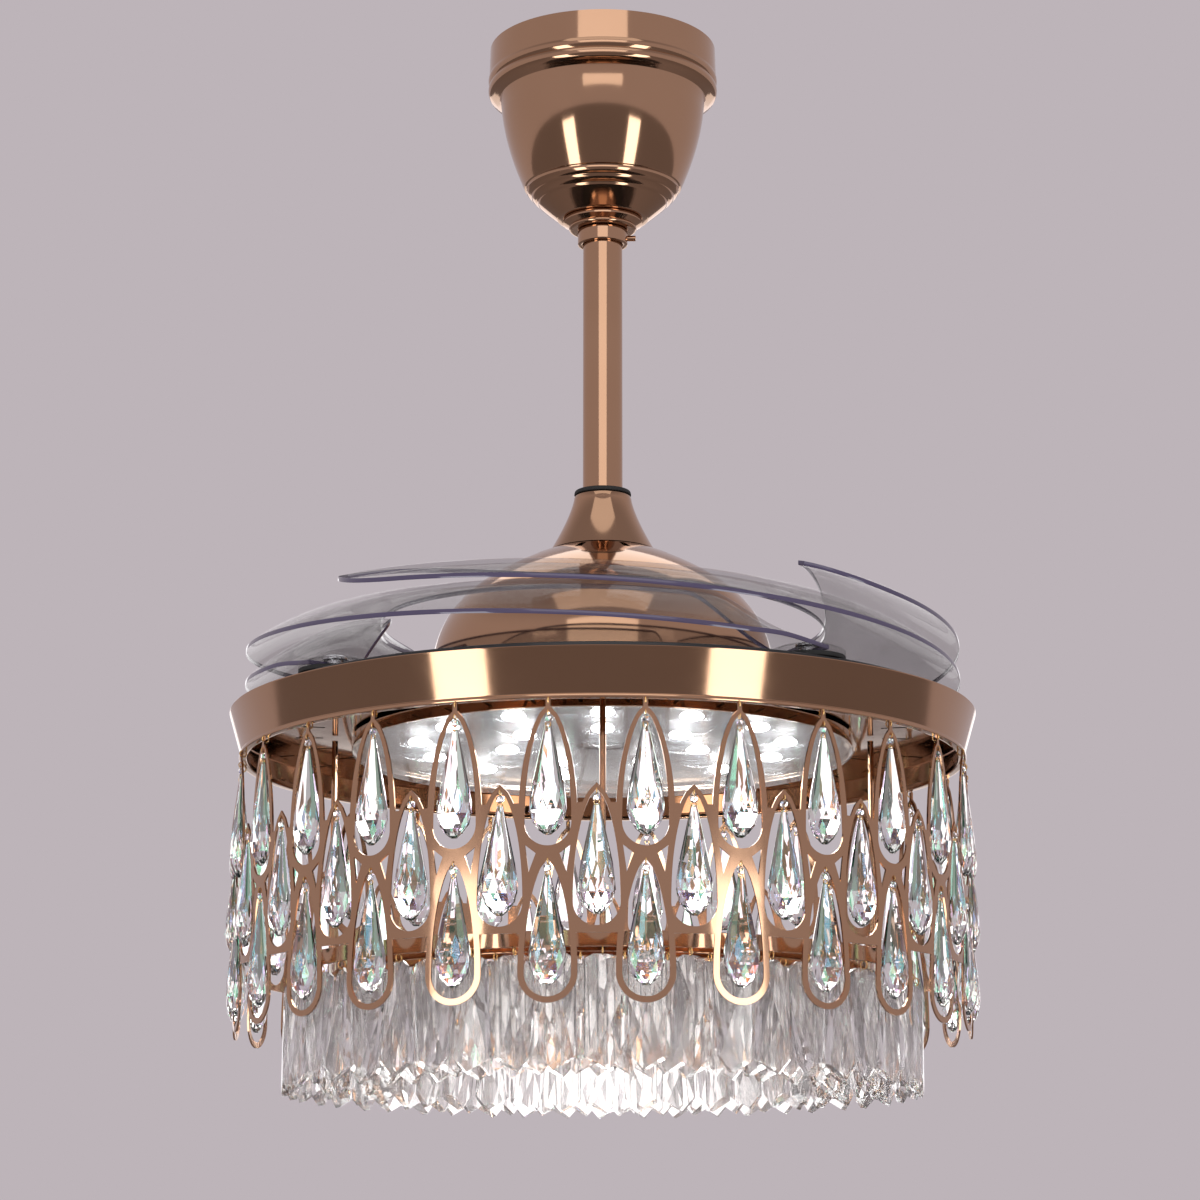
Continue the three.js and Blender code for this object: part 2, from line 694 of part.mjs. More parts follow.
// Across and along one blade: a share from the outer edge to the inner one, and from root to
// tip. The place is in the fan's frame for a blade whose pivot lies on +X.
function bladePoint(along, across, side) {
  const rootShare = smooth(along / bladeRootShare);
  const tipShare = (share) => Math.max(0, 1 - (1 - along) / share) ** bladeTipCurve;
  const outer = THREE.MathUtils.lerp(
    THREE.MathUtils.lerp(pivotRadius + bladeRootOutside, bladeOuterRadius, rootShare),
    bladeTipRadius + bladeTipWidth / 2, tipShare(bladeTipOuterShare));
  const inner = THREE.MathUtils.lerp(
    THREE.MathUtils.lerp(pivotRadius - bladeRootInside, bladeInnerRadius, rootShare),
    bladeTipRadius - bladeTipWidth / 2, tipShare(bladeTipInnerShare));
  const radius = THREE.MathUtils.lerp(outer, inner, across);
  const angle = -radians(bladeArc) * along;
  return [radius * Math.cos(angle), radius * Math.sin(angle),
    bladeHeight(along, radius, rootShare) + side * bladeThickness];
}

// A section's corners run up over the sheet and back under it.
function bladeSheet() {
  const shares = [0, 0.35, 0.7, 1];
  const last = shares.length - 1;
  const section = [...shares.map((across) => [across, 1]),
    ...shares.toReversed().map((across) => [across, 0])];
  const vertices = bladeStations.flatMap((along) =>
    section.flatMap(([across, side]) => bladePoint(along, across, side)));
  const at = (station, corner) => station * section.length + (corner % section.length);
  const faces = [];
  for (let i = 0; i < bladeStations.length - 1; i += 1) {
    for (let k = 0; k < section.length; k += 1) {
      faces.push(at(i, k), at(i + 1, k + 1), at(i + 1, k));
      faces.push(at(i, k), at(i, k + 1), at(i + 1, k + 1));
    }
  }
  const tip = bladeStations.length - 1;
  for (let k = 0; k < last; k += 1) {
    const [a, b, c, d] = [k, k + 1, section.length - 2 - k, section.length - 1 - k];
    faces.push(at(0, a), at(0, c), at(0, b), at(0, a), at(0, d), at(0, c));
    faces.push(at(tip, a), at(tip, b), at(tip, c), at(tip, a), at(tip, c), at(tip, d));
  }
  return new THREE.BufferGeometry()
    .setAttribute("position", new THREE.Float32BufferAttribute(vertices, 3))
    .setIndex(faces);
}

// The blade about its pivot, with the pin's bore, room for its head and a flat underside.
function blade() {
  const above = hubTop + bladeInnerHeight;
  const cutters = [
    cylinder(pinRadius + clearance, above, hubBottom - overshoot, holeRound),
    cylinder(pinHeadRadius + 1, above, hubTop, holeRound),
    cylinder(bladeHubRadius * 4, hubBottom, hubBottom - bladeInnerHeight),
  ];
  const sheetAtPivot = bladeSheet().translate(-pivotRadius, 0, 0);
  return cut(joined(sheetAtPivot, cylinder(bladeHubRadius, hubTop, hubBottom)), ...cutters);
}

function pivotPin() {
  const headBottom = hubTop + clearance;
  return joined(cylinder(pinRadius, headBottom + overshoot, gearBottom, holeRound),
    cylinder(pinHeadRadius, headBottom + pinHeadHeight, headBottom, holeRound));
}

const springBottom = gearTop + clearance;
pivots.forEach((angle, i) => {
  const pivot = new THREE.Group();
  pivot.position.set(pivotRadius * Math.cos(angle), pivotRadius * Math.sin(angle), 0);
  pivot.rotation.z = angle;
  fan.add(pivot);
  add(`blade_${i + 1}`, blade(), smokyPlastic, pivot);
  add(`blade_pin_${i + 1}`, pivotPin(), steel, pivot);
  add(`blade_gear_${i + 1}`, bladeGear(), nylon, pivot);
  add(`blade_spring_${i + 1}`, ring(springInnerRadius, springRadius, springBottom
    + springThickness, springBottom, holeRound), steel, pivot);
});

// ---- Lamp ring and light module -----------------------------------------------------------
function ringWallRadius(height) {
  return ringBottomRadius + ((ringTopRadius - ringBottomRadius) * (height - ringBottom))
    / ringHeight;
}
const panRadius = ringWallRadius(panTop - plateMetal) - sheet - clearance;
const panBottom = panTop - plateMetal;
add("lamp_ring", turned([
  [ringTopRadius, ringTop],
  [ringBottomRadius, ringBottom],
  [ringLipRadius, ringBottom],
  [ringLipRadius, lipBottom],
  [ringBottomRadius - ringFlange, lipBottom],
  [ringBottomRadius - ringFlange, ringBottom + sheet],
  [ringBottomRadius - sheet, ringBottom + sheet],
  [ringTopRadius - sheet, ringTop],
], largeRound), roseGold);
add("lamp_pan", ring(shaftRadius + clearance, panRadius, panTop, panBottom, largeRound),
  mirrorGold);

const nutTop = panBottom - clearance;
add("shaft_nut", cut(cylinder(nutRadius, nutTop, nutTop - nutHeight, 6),
  cylinder(shaftRadius + clearance, nutTop + overshoot, nutTop - nutHeight - overshoot)),
  steel);

const baseTop = panBottom - clearance;
const baseBottom = baseTop - lampBaseHeight;
const boardTop = baseTop - plateMetal - clearance;
add("lamp_base", turned([
  [lampHoleRadius, baseTop],
  [lampRadius, baseTop],
  [lampRadius, baseBottom],
  [lampRadius - plateMetal, baseBottom],
  [lampRadius - plateMetal, baseTop - plateMetal],
  [lampHoleRadius, baseTop - plateMetal],
], largeRound), mirrorGold);
add("led_board", ring(lampHoleRadius, lampBoardRadius, boardTop, boardTop - lampBoardHeight,
  largeRound), boardWhite);
const lensTop = baseBottom - clearance;
add("lens_cover", cylinder(lampRadius, lensTop, lensTop - lensHeight, largeRound),
  clearPlastic);

// ---- Screen of teardrop windows -------------------------------------------------------------
const columnPitch = (fullTurn * screenRadius) / columns;
const columnAngle = radians(firstColumnAngle);
const rowDrops = { upper: 0, middle: middleRowDrop, lower: lowerRowDrop };
const rowShifts = { upper: 0, middle: columnPitch / 2, lower: 0 };

// A teardrop outline, tip up at height zero, as [x, z] points; margin widens it all round.
// Its sides bend out above the middle, are widest at 0.85 of the straight part and close in
// a blunt half circle.
function teardrop(halfWidth, height, margin) {
  const wide = halfWidth + margin;
  const straight = height - halfWidth + margin;
  const right = [
    [0.62 * wide, margin - 0.27 * straight],
    [wide, margin - 0.85 * straight],
    [0.6 * wide, margin - straight - 0.9 * wide],
  ];
  return [[0, margin], ...right, ...right.map(([x, z]) => [-x, z]).reverse()];
}

// A plate cut from a flat outline of [x, z] points, standing up with y as its thickness.
function panel(outline, thickness) {
  return plate(outline, thickness).rotateX(Math.PI / 2).translate(0, thickness / 2, 0);
}

function crystalScreen() {
  const places = [-1, 0, 1].flatMap((column) => Object.keys(rowDrops).map((row) =>
    [column * columnPitch + rowShifts[row], screenTop - stripWidth - rowDrops[row]]));
  const tears = places.map(([x, z]) => panel(teardrop(windowHalfWidth, windowHeight,
    stripWidth), sheet).translate(x, 0, z));
  const holes = places.map(([x, z]) => panel(teardrop(windowHalfWidth, windowHeight, 0),
    sheet * 3).translate(x, 0, z));
  const webTop = screenTop - webDrop;
  const webHeight = webBottomDrop - webDrop;
  const web = box(3 * columnPitch, sheet, webHeight).translate(0, 0, webTop - webHeight / 2);
  const tab = box(tabWidth, sheet, lipBottom - clearance - screenTop + stripWidth)
    .translate(0, 0, (lipBottom - clearance + screenTop - stripWidth) / 2);
  return ringOfCells(cut(joined(...tears, web, tab), ...holes), screenRadius, columns,
    columnAngle);
}
add("crystal_screen", crystalScreen(), roseGold);

// A row of hanging crystals, one to a window, held by a wire that runs behind the screen.
function dropRow(row) {
  const top = screenTop - stripWidth - rowDrops[row] - clearance;
  const drop = new THREE.LatheGeometry([[0, -1], [1, -dropBelly], [0, 0]].map(([r, z]) =>
    new THREE.Vector2(r, z)), 4).rotateX(Math.PI / 2)
    .scale(dropHalfWidth, dropThickness / 2, dropLength).translate(0, 0, top);
  const end = columnPitch / 2;
  const bend = [[-end, -wireSetback], [0, -wireSize], [end, -wireSetback],
    [end, wireSize - wireSetback], [0, 0], [-end, wireSize - wireSetback]];
  const wire = plate(bend, wireSize).translate(0, 0, top - wireDrop);
  return ringOfCells(joined(drop, wire), screenRadius, columns,
    columnAngle + rowShifts[row] / screenRadius);
}
for (const row of Object.keys(rowDrops)) {
  add(`${row}_drops`, dropRow(row), crystal);
}

// ---- Prisms on hoops inside the screen --------------------------------------------------------
const hoopBottom = hoopTop - hoopHeight;
const railTop = hoopBottom - clearance;

function prismFrame() {
  const hoops = tierRadii.map((radius) => ring(radius - hoopThickness / 2,
    radius + hoopThickness / 2, hoopTop, hoopBottom, shellRound));
  const rodLength = panBottom - clearance - hoopTop + hoopHeight / 2;
  const spokeLength = tierRadii[0] - tierRadii[tierRadii.length - 1];
  const arms = Array.from({ length: hangerRodCount }, (_, i) => {
    const turn = (i * fullTurn) / hangerRodCount;
    const rod = box(hangerRodSize, hangerRodSize, rodLength)
      .translate(tierRadii[1], 0, panBottom - clearance - rodLength / 2).rotateZ(turn);
    const spoke = box(spokeLength, hangerRodSize, spokeThickness)
      .translate(tierRadii[0] - spokeLength / 2, 0, hoopTop - hoopHeight / 2).rotateZ(turn);
    return [rod, spoke];
  });
  return joined(...hoops, ...arms.flat());
}
add("prism_frame", prismFrame(), roseGold);

function prismTier(radius, count) {
  const end = (Math.PI * radius) / count;
  const half = end * (1 - prismGapShare);
  const outline = [[end, 0], [-end, 0], [-end, -railHeight], [-half, -railHeight],
    [-half, prismTipDrop - prismLength], [half, -prismLength], [half, -railHeight],
    [end, -railHeight]];
  return ringOfCells(panel(outline, prismThickness).translate(0, 0, railTop), radius, count, 0);
}
tierRadii.forEach((radius, i) => {
  add(`prism_tier_${i + 1}`, prismTier(radius, tierPrisms[i]), crystal);
});

export default fan;
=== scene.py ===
"""Dresses the ceiling fan: polished shells, clear folding blades and a lit crystal lamp.

Sizes in the classes are millimetres in the model's own frame: the origin is the middle of
the bracket's ceiling face and +Z points up, so everything hangs at negative heights.
"""
import json
import logging
import math
from dataclasses import dataclass
from enum import Enum

import bmesh
import bpy
from mathutils import Matrix, Vector

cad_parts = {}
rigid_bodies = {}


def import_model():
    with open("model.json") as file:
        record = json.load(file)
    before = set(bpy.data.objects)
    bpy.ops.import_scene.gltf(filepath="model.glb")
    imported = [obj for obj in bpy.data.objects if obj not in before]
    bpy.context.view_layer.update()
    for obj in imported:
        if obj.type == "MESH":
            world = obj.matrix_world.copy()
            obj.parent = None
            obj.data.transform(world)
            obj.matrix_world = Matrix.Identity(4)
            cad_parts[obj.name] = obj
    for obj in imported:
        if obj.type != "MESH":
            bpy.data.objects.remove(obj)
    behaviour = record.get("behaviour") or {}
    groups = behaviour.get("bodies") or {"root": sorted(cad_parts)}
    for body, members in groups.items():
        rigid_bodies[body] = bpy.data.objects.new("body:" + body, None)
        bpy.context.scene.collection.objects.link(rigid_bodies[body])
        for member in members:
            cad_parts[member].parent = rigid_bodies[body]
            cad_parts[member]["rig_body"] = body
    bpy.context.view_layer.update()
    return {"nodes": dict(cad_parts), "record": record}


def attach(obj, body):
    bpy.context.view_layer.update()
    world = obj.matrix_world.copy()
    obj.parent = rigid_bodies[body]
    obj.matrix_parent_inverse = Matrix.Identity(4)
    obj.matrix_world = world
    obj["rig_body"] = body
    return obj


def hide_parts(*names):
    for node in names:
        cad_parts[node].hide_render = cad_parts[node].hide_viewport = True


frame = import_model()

MM = 0.001
FULL_TURN = 2 * math.pi
LOG = logging.getLogger("ceiling_fan")

Point = tuple[float, float]
Spot = tuple[float, float, float]
Colour = tuple[float, float, float]

FINE_RATIO = 9  # how much finer the gloss mottling is than the colour's
BUMP_STRENGTH = 0.3
FILM_IOR = 1.8
EDGE_BLEND = 0.2  # how early a thin sheet grows solid as it turns edge on
LONG_RATIO = 4  # a stretch this much longer than its neighbour gets a support point
HOLD_DISTANCE = 0.6  # millimetres at most from a corner to its support point


# ---- Finishes --------------------------------------------------------------------------------
class Look(Enum):
    """How a finish meets the light."""

    SOLID = "solid"
    METAL = "metal"
    THIN_CLEAR = "thin_clear"
    GLASS = "glass"
    GLOW = "glow"


def surface_group() -> bpy.types.NodeTree:
    """Builds, once, the node group that mottles a colour and varies its gloss.

    Returns:
        The group, with the outputs Color, Roughness and Height.
    """
    name = "surface_variation"
    if name in bpy.data.node_groups:
        return bpy.data.node_groups[name]
    group = bpy.data.node_groups.new(name, "ShaderNodeTree")
    face = group.interface
    for socket, kind in (("Color", "NodeSocketColor"), ("Tint", "NodeSocketColor"),
                         ("Amount", "NodeSocketFloat"), ("Scale", "NodeSocketFloat"),
                         ("Roughness", "NodeSocketFloat"), ("Spread", "NodeSocketFloat")):
        face.new_socket(socket, in_out="INPUT", socket_type=kind)
    for socket, kind in (("Color", "NodeSocketColor"), ("Roughness", "NodeSocketFloat"),
                         ("Height", "NodeSocketFloat")):
        face.new_socket(socket, in_out="OUTPUT", socket_type=kind)
    nodes, links = group.nodes, group.links
    given = nodes.new("NodeGroupInput")
    made = nodes.new("NodeGroupOutput")
    place = nodes.new("ShaderNodeTexCoord")
    broad = nodes.new("ShaderNodeTexNoise")
    broad.inputs["Detail"].default_value = 3
    fine_scale = nodes.new("ShaderNodeMath")
    fine_scale.operation = "MULTIPLY"
    fine_scale.inputs[1].default_value = FINE_RATIO
    fine = nodes.new("ShaderNodeTexNoise")
    fine.inputs["Detail"].default_value = 4
    share = nodes.new("ShaderNodeMath")
    share.operation = "MULTIPLY"
    mix = nodes.new("ShaderNodeMix")
    mix.data_type = "RGBA"
    shift = nodes.new("ShaderNodeMath")
    shift.operation = "MULTIPLY_ADD"
    for noise in (broad, fine):
        links.new(place.outputs["Object"], noise.inputs["Vector"])
    links.new(given.outputs["Scale"], broad.inputs["Scale"])
    links.new(given.outputs["Scale"], fine_scale.inputs[0])
    links.new(fine_scale.outputs[0], fine.inputs["Scale"])
    links.new(broad.outputs["Fac"], share.inputs[0])
    links.new(given.outputs["Amount"], share.inputs[1])
    links.new(share.outputs[0], mix.inputs["Factor"])
    links.new(given.outputs["Color"], mix.inputs["A"])
    links.new(given.outputs["Tint"], mix.inputs["B"])
    links.new(fine.outputs["Fac"], shift.inputs[0])
    links.new(given.outputs["Spread"], shift.inputs[1])
    links.new(given.outputs["Roughness"], shift.inputs[2])
    links.new(mix.outputs["Result"], made.inputs["Color"])
    links.new(shift.outputs[0], made.inputs["Roughness"])
    links.new(fine.outputs["Fac"], made.inputs["Height"])
    return group


@dataclass(frozen=True)
class Finish:
    """A finish and the values that its material is made from."""

    name: str
    color: Colour
    roughness: float
    look: Look = Look.SOLID
    tint: Colour = (0.5, 0.5, 0.5)
    amount: float = 0.2
    scale: float = 30
    spread: float = 0.06
    bump: float = 0.0
    coat: float = 0.0
    ior: float = 1.45
    opacity: float = 1.0
    rim: float = 0.5
    glow: float = 0.0
    film: float = 0.0

    def material(self) -> bpy.types.Material:
        """Returns the finish's material, built on its first use."""
        if self.name in bpy.data.materials:
            return bpy.data.materials[self.name]
        material = bpy.data.materials.new(self.name)
        material.use_nodes = True
        nodes, links = material.node_tree.nodes, material.node_tree.links
        shader = nodes["Principled BSDF"]
        group = nodes.new("ShaderNodeGroup")
        group.node_tree = surface_group()
        for socket, value in (("Color", (*self.color, 1)), ("Tint", (*self.tint, 1)),
                              ("Amount", self.amount), ("Scale", self.scale),
                              ("Roughness", self.roughness - self.spread / 2),
                              ("Spread", self.spread)):
            group.inputs[socket].default_value = value
        links.new(group.outputs["Color"], shader.inputs["Base Color"])
        links.new(group.outputs["Roughness"], shader.inputs["Roughness"])
        shader.inputs["IOR"].default_value = self.ior
        shader.inputs["Coat Weight"].default_value = self.coat
        shader.inputs["Metallic"].default_value = 1 if self.look is Look.METAL else 0
        if self.bump:
            bump = nodes.new("ShaderNodeBump")
            bump.inputs["Strength"].default_value = BUMP_STRENGTH
            bump.inputs["Distance"].default_value = self.bump * MM
            links.new(group.outputs["Height"], bump.inputs["Height"])
            links.new(bump.outputs["Normal"], shader.inputs["Normal"])
        if self.look is Look.GLASS:
            shader.inputs["Transmission Weight"].default_value = 1
            shader.inputs["Alpha"].default_value = self.opacity
            shader.inputs["Thin Film Thickness"].default_value = self.film
            shader.inputs["Thin Film IOR"].default_value = FILM_IOR
        if self.look is Look.THIN_CLEAR:
            self._clear(nodes, links, shader)
        if self.look is Look.GLOW:
            links.new(group.outputs["Color"], shader.inputs["Emission Color"])
            shader.inputs["Emission Strength"].default_value = self.glow
        return material

    def _clear(self, nodes: bpy.types.Nodes, links: bpy.types.NodeLinks,
               shader: bpy.types.Node) -> None:
        """Makes a thin sheet see-through, and more solid where it is seen edge on.

        Args:
            nodes: The material's nodes.
            links: The material's links.
            shader: The shader whose Alpha is driven.
        """
        facing = nodes.new("ShaderNodeLayerWeight")
        facing.inputs["Blend"].default_value = EDGE_BLEND
        solid = nodes.new("ShaderNodeMath")
        solid.operation = "MULTIPLY_ADD"
        solid.inputs[1].default_value = self.rim
        solid.inputs[2].default_value = self.opacity
        solid.use_clamp = True
        links.new(facing.outputs["Facing"], solid.inputs[0])
        links.new(solid.outputs[0], shader.inputs["Alpha"])


ROSE_GOLD = Finish("polished_rose_gold", (0.55, 0.34, 0.215), 0.09, Look.METAL,
                   tint=(0.43, 0.245, 0.145), amount=0.6, scale=11, spread=0.05)
MIRROR_GOLD = Finish("mirror_gold_plate", (0.9, 0.72, 0.58), 0.06, Look.METAL,
                     tint=(0.82, 0.62, 0.47), amount=0.3, scale=12, spread=0.05)
HOOK_GOLD = Finish("yellow_gold_wire", (0.95, 0.66, 0.3), 0.15, Look.METAL,
                   tint=(0.8, 0.5, 0.2), amount=0.3, scale=80)
ZINC = Finish("zinc_plated_steel", (0.6, 0.6, 0.57), 0.35, Look.METAL,
              tint=(0.48, 0.5, 0.52), amount=0.5, scale=70, spread=0.15, bump=0.05)
STEEL = Finish("machined_steel", (0.62, 0.63, 0.65), 0.28, Look.METAL,
               tint=(0.5, 0.5, 0.52), amount=0.4, scale=90, spread=0.15, bump=0.03)
IRON = Finish("lacquered_iron", (0.035, 0.035, 0.038), 0.5, tint=(0.07, 0.07, 0.07),
              amount=0.5, scale=60, spread=0.2, bump=0.2)
WINDING = Finish("lacquered_copper", (0.55, 0.22, 0.1), 0.35, Look.METAL,
                 tint=(0.3, 0.1, 0.05), amount=0.6, scale=220, spread=0.2, bump=0.4)
BLACK_PAINT = Finish("satin_black_paint", (0.012, 0.012, 0.013), 0.38, tint=(0.03, 0.03, 0.032),
                     amount=0.4, scale=25, spread=0.12, bump=0.02, coat=0.2)
RUBBER = Finish("black_rubber", (0.016, 0.016, 0.017), 0.72, tint=(0.035, 0.035, 0.035),
                amount=0.5, scale=60, spread=0.15, bump=0.15)
NYLON = Finish("white_nylon", (0.78, 0.74, 0.66), 0.5, tint=(0.7, 0.66, 0.58),
               amount=0.3, scale=60, spread=0.12, bump=0.05)
BOX_PLASTIC = Finish("pale_box_plastic", (0.8, 0.8, 0.78), 0.48, tint=(0.72, 0.72, 0.7),
                     amount=0.3, scale=50, spread=0.12, bump=0.06)
BOARD = Finish("polished_board", (0.55, 0.52, 0.5), 0.12, Look.METAL,
               tint=(0.36, 0.36, 0.37), amount=0.5, scale=40, spread=0.08)
BLADE = Finish("smoky_clear_blade", (0.085, 0.066, 0.066), 0.05, Look.THIN_CLEAR,
               tint=(0.11, 0.092, 0.1), amount=0.5, scale=6, spread=0.04, ior=1.49,
               opacity=0.1, rim=0.3)
BLADE_EDGE = Finish("dark_blade_edge", (0.06, 0.048, 0.1), 0.08, tint=(0.13, 0.1, 0.2),
                    amount=0.5, scale=9, spread=0.06, ior=1.49, coat=0.5)
CLEAR = Finish("clear_cover", (0.85, 0.88, 0.9), 0.05, Look.THIN_CLEAR,
               tint=(0.8, 0.84, 0.88), amount=0.3, scale=30, spread=0.03, opacity=0.05)
# The crystal's colour is mottled towards pale blue. This is partly a cool tone in the glass and
# partly painted colour glints that stand in for light split by the facets.
CRYSTAL = Finish("cut_crystal_painted_glints", (1.0, 1.0, 1.0), 0.0, Look.GLASS, tint=(0.86, 0.93, 1.0),
                 amount=0.3, scale=70, spread=0.0, ior=1.54, film=530)
PRISM = Finish("warm_prism_glass", (1.0, 1.0, 1.0), 0.0, Look.GLASS, tint=(1.0, 0.96, 0.88),
               amount=0.3, scale=40, spread=0.0, ior=1.5, opacity=0.86)
LED = Finish("lit_emitter", (1.0, 1.0, 1.0), 0.4, Look.GLOW, tint=(0.93, 0.97, 1.0),
             amount=0.4, scale=90, glow=40)

SLOT_FINISH: dict[str, Finish] = {
    "rose_gold": ROSE_GOLD, "mirror_gold": MIRROR_GOLD, "zinc_steel": ZINC, "steel": STEEL,
    "motor_iron": IRON, "winding": WINDING, "black_paint": BLACK_PAINT,
    "black_rubber": RUBBER, "nylon": NYLON, "box_plastic": BOX_PLASTIC,
    "smoky_blade": BLADE, "clear_plastic": CLEAR, "board_white": BOARD, "crystal": CRYSTAL,
}


# ---- Mesh tools ------------------------------------------------------------------------------
def held(profile: list[Point], closed: bool) -> list[Point]:
    """Adds points near the ends of long stretches, so that they shade flat beside fine curves.

    Args:
        profile: Points of radius and height.
        closed: Whether the last point joins the first.

    Returns:
        The profile with its support points.
    """
    count = len(profile)
    lengths = [math.dist(profile[i], profile[(i + 1) % count]) for i in range(count)]
    points: list[Point] = []
    for i, (start, length) in enumerate(zip(profile, lengths)):
        points.append(start)
        if i == count - 1 and not closed:
            break
        end = Vector(profile[(i + 1) % count])
        reach = (end - Vector(start)) / max(length, 1e-9)
        before, after = lengths[i - 1], lengths[(i + 1) % count]
        if (closed or i > 0) and length > LONG_RATIO * before > 0:
            points.append(tuple(Vector(start) + reach * min(before, HOLD_DISTANCE)))
        if (closed or i < count - 2) and length > LONG_RATIO * after > 0:
            points.append(tuple(end - reach * min(after, HOLD_DISTANCE)))
    return points


def spun(profile: list[Point], steps: int, closed: bool = True) -> bmesh.types.BMesh:
    """Turns a profile a full turn about Z.

    Args:
        profile: Points of radius and height in millimetres.
        steps: Number of sides.
        closed: Whether the last point joins the first.

    Returns:
        The turned mesh, in metres.
    """
    bm = bmesh.new()
    verts = [bm.verts.new((r * MM, 0, z * MM)) for r, z in held(profile, closed)]
    edges = [bm.edges.new(pair) for pair in zip(verts, verts[1:])]
    if closed:
        edges.append(bm.edges.new((verts[-1], verts[0])))
    bmesh.ops.spin(bm, geom=verts + edges, cent=(0, 0, 0), axis=(0, 0, 1), angle=FULL_TURN,
                   steps=steps, use_merge=True)
    bmesh.ops.remove_doubles(bm, verts=bm.verts, dist=1e-6)
    bmesh.ops.recalc_face_normals(bm, faces=bm.faces)
    return bm


def arc(centre: Point, radius: float, start: float, end: float, steps: int) -> list[Point]:
    """Gives the points of an arc, from one angle to another.

    Args:
        centre: The arc's centre.
        radius: The arc's radius.
        start: First angle in degrees.
        end: Last angle in degrees.
        steps: Number of stretches between points.

    Returns:
        The points.
    """
    angles = [math.radians(start + (end - start) * i / steps) for i in range(steps + 1)]
    return [(centre[0] + radius * math.cos(a), centre[1] + radius * math.sin(a))
            for a in angles]


def rounded(corners: list[Point], radius: float, steps: int = 3) -> list[Point]:
    """Rounds every corner of a closed profile.

    Args:
        corners: The profile's corners.
        radius: Largest rounding; short sides get less.
        steps: Stretches in each rounded corner.

    Returns:
        The points of the rounded profile.
    """
    points: list[Point] = []
    count = len(corners)
    for i, corner in enumerate(corners):
        here = Vector(corner)
        back, ahead = Vector(corners[i - 1]) - here, Vector(corners[(i + 1) % count]) - here
        reach = min(radius, back.length * 0.45, ahead.length * 0.45)
        first, last = here + back.normalized() * reach, here + ahead.normalized() * reach
        for k in range(steps + 1):
            t = k / steps
            point = first * (1 - t) ** 2 + here * 2 * t * (1 - t) + last * t ** 2
            points.append((point.x, point.y))
    return points


def soften(bm: bmesh.types.BMesh, sharp_degrees: float = 32) -> None:
    """Shades a mesh smooth, but keeps its sharper edges crisp.

    Args:
        bm: The mesh to shade.
        sharp_degrees: Edges that turn more than this stay crisp.
    """
    limit = math.radians(sharp_degrees)
    for face in bm.faces:
        face.smooth = True
    for edge in bm.edges:
        edge.smooth = len(edge.link_faces) == 2 and edge.calc_face_angle(0) < limit


def round_copies(item: bmesh.types.BMesh, radius: float, angles: list[float]
                 ) -> bmesh.types.BMesh:
    """Sets copies of an item round Z.

    The item is drawn at the origin in metres, with x along the ring and y pointing outwards.

    Args:
        item: The mesh to copy. It is freed.
        radius: Distance from Z in millimetres.
        angles: The copies' angles in radians.

    Returns:
        One mesh with all the copies.
    """
    source = bpy.data.meshes.new("source")
    item.to_mesh(source)
    item.free()
    whole = bmesh.new()
    for angle in angles:
        start = len(whole.verts)
        whole.from_mesh(source)
        whole.verts.ensure_lookup_table()
        sine, cosine = math.sin(angle), math.cos(angle)
        place = Matrix(((sine, cosine, 0, radius * MM * cosine),
                        (-cosine, sine, 0, radius * MM * sine), (0, 0, 1, 0), (0, 0, 0, 1)))
        bmesh.ops.transform(whole, matrix=place, verts=whole.verts[start:])
    bpy.data.meshes.remove(source)
    return whole


def merged(*parts: bmesh.types.BMesh) -> bmesh.types.BMesh:
    """Puts several meshes into one and frees them.

    Args:
        parts: The meshes.

    Returns:
        The one mesh.
    """
    whole = bmesh.new()
    for part in parts:
        mesh = bpy.data.meshes.new("part")
        part.to_mesh(mesh)
        part.free()
        whole.from_mesh(mesh)
        bpy.data.meshes.remove(mesh)
    return whole


def carved(body: bmesh.types.BMesh, cutter: bmesh.types.BMesh) -> bmesh.types.BMesh:
    """Takes a cutter out of a body, whose own overlaps become one solid.

    Args:
        body: The mesh to cut. It is freed.
        cutter: The openings. It is freed.

    Returns:
        The carved mesh.
    """
    objects = []
    for name, bm in (("carved_body", body), ("carving_tool", cutter)):
        mesh = bpy.data.meshes.new(name)
        bm.to_mesh(mesh)
        bm.free()
        holder = bpy.data.objects.new(name, mesh)
        bpy.context.scene.collection.objects.link(holder)
        objects.append(holder)
    carve = objects[0].modifiers.new("carve", "BOOLEAN")
    carve.operation = "DIFFERENCE"
    carve.solver = "EXACT"
    carve.use_self = True
    carve.object = objects[1]
    graph = bpy.context.evaluated_depsgraph_get()
    result = bmesh.new()
    result.from_mesh(objects[0].evaluated_get(graph).to_mesh())
    for holder in objects:
        bpy.data.meshes.remove(holder.data)
    bmesh.ops.remove_doubles(result, verts=result.verts, dist=1e-6)
    return result


def block(x: float, y: float, z: float, edge: float = 0.4, segments: int = 2
          ) -> bmesh.types.BMesh:
    """Makes a box with rounded edges, centred on the origin.

    Args:
        x: Size along x in millimetres.
        y: Size along y.
        z: Size along z.
        edge: Rounding of its edges.
        segments: Steps in each rounded edge.

    Returns:
        The box.
    """
    bm = bmesh.new()
    bmesh.ops.create_cube(bm, size=1)
    bmesh.ops.scale(bm, vec=(x * MM, y * MM, z * MM), verts=bm.verts)
    bmesh.ops.bevel(bm, geom=bm.edges[:], offset=edge * MM, segments=segments, profile=0.5,
                    affect="EDGES", material=-1, clamp_overlap=True)
    return bm


def moved(bm: bmesh.types.BMesh, x: float = 0, y: float = 0, z: float = 0
          ) -> bmesh.types.BMesh:
    """Moves a mesh by millimetres and returns it."""
    bmesh.ops.translate(bm, vec=(x * MM, y * MM, z * MM), verts=bm.verts)
    return bm


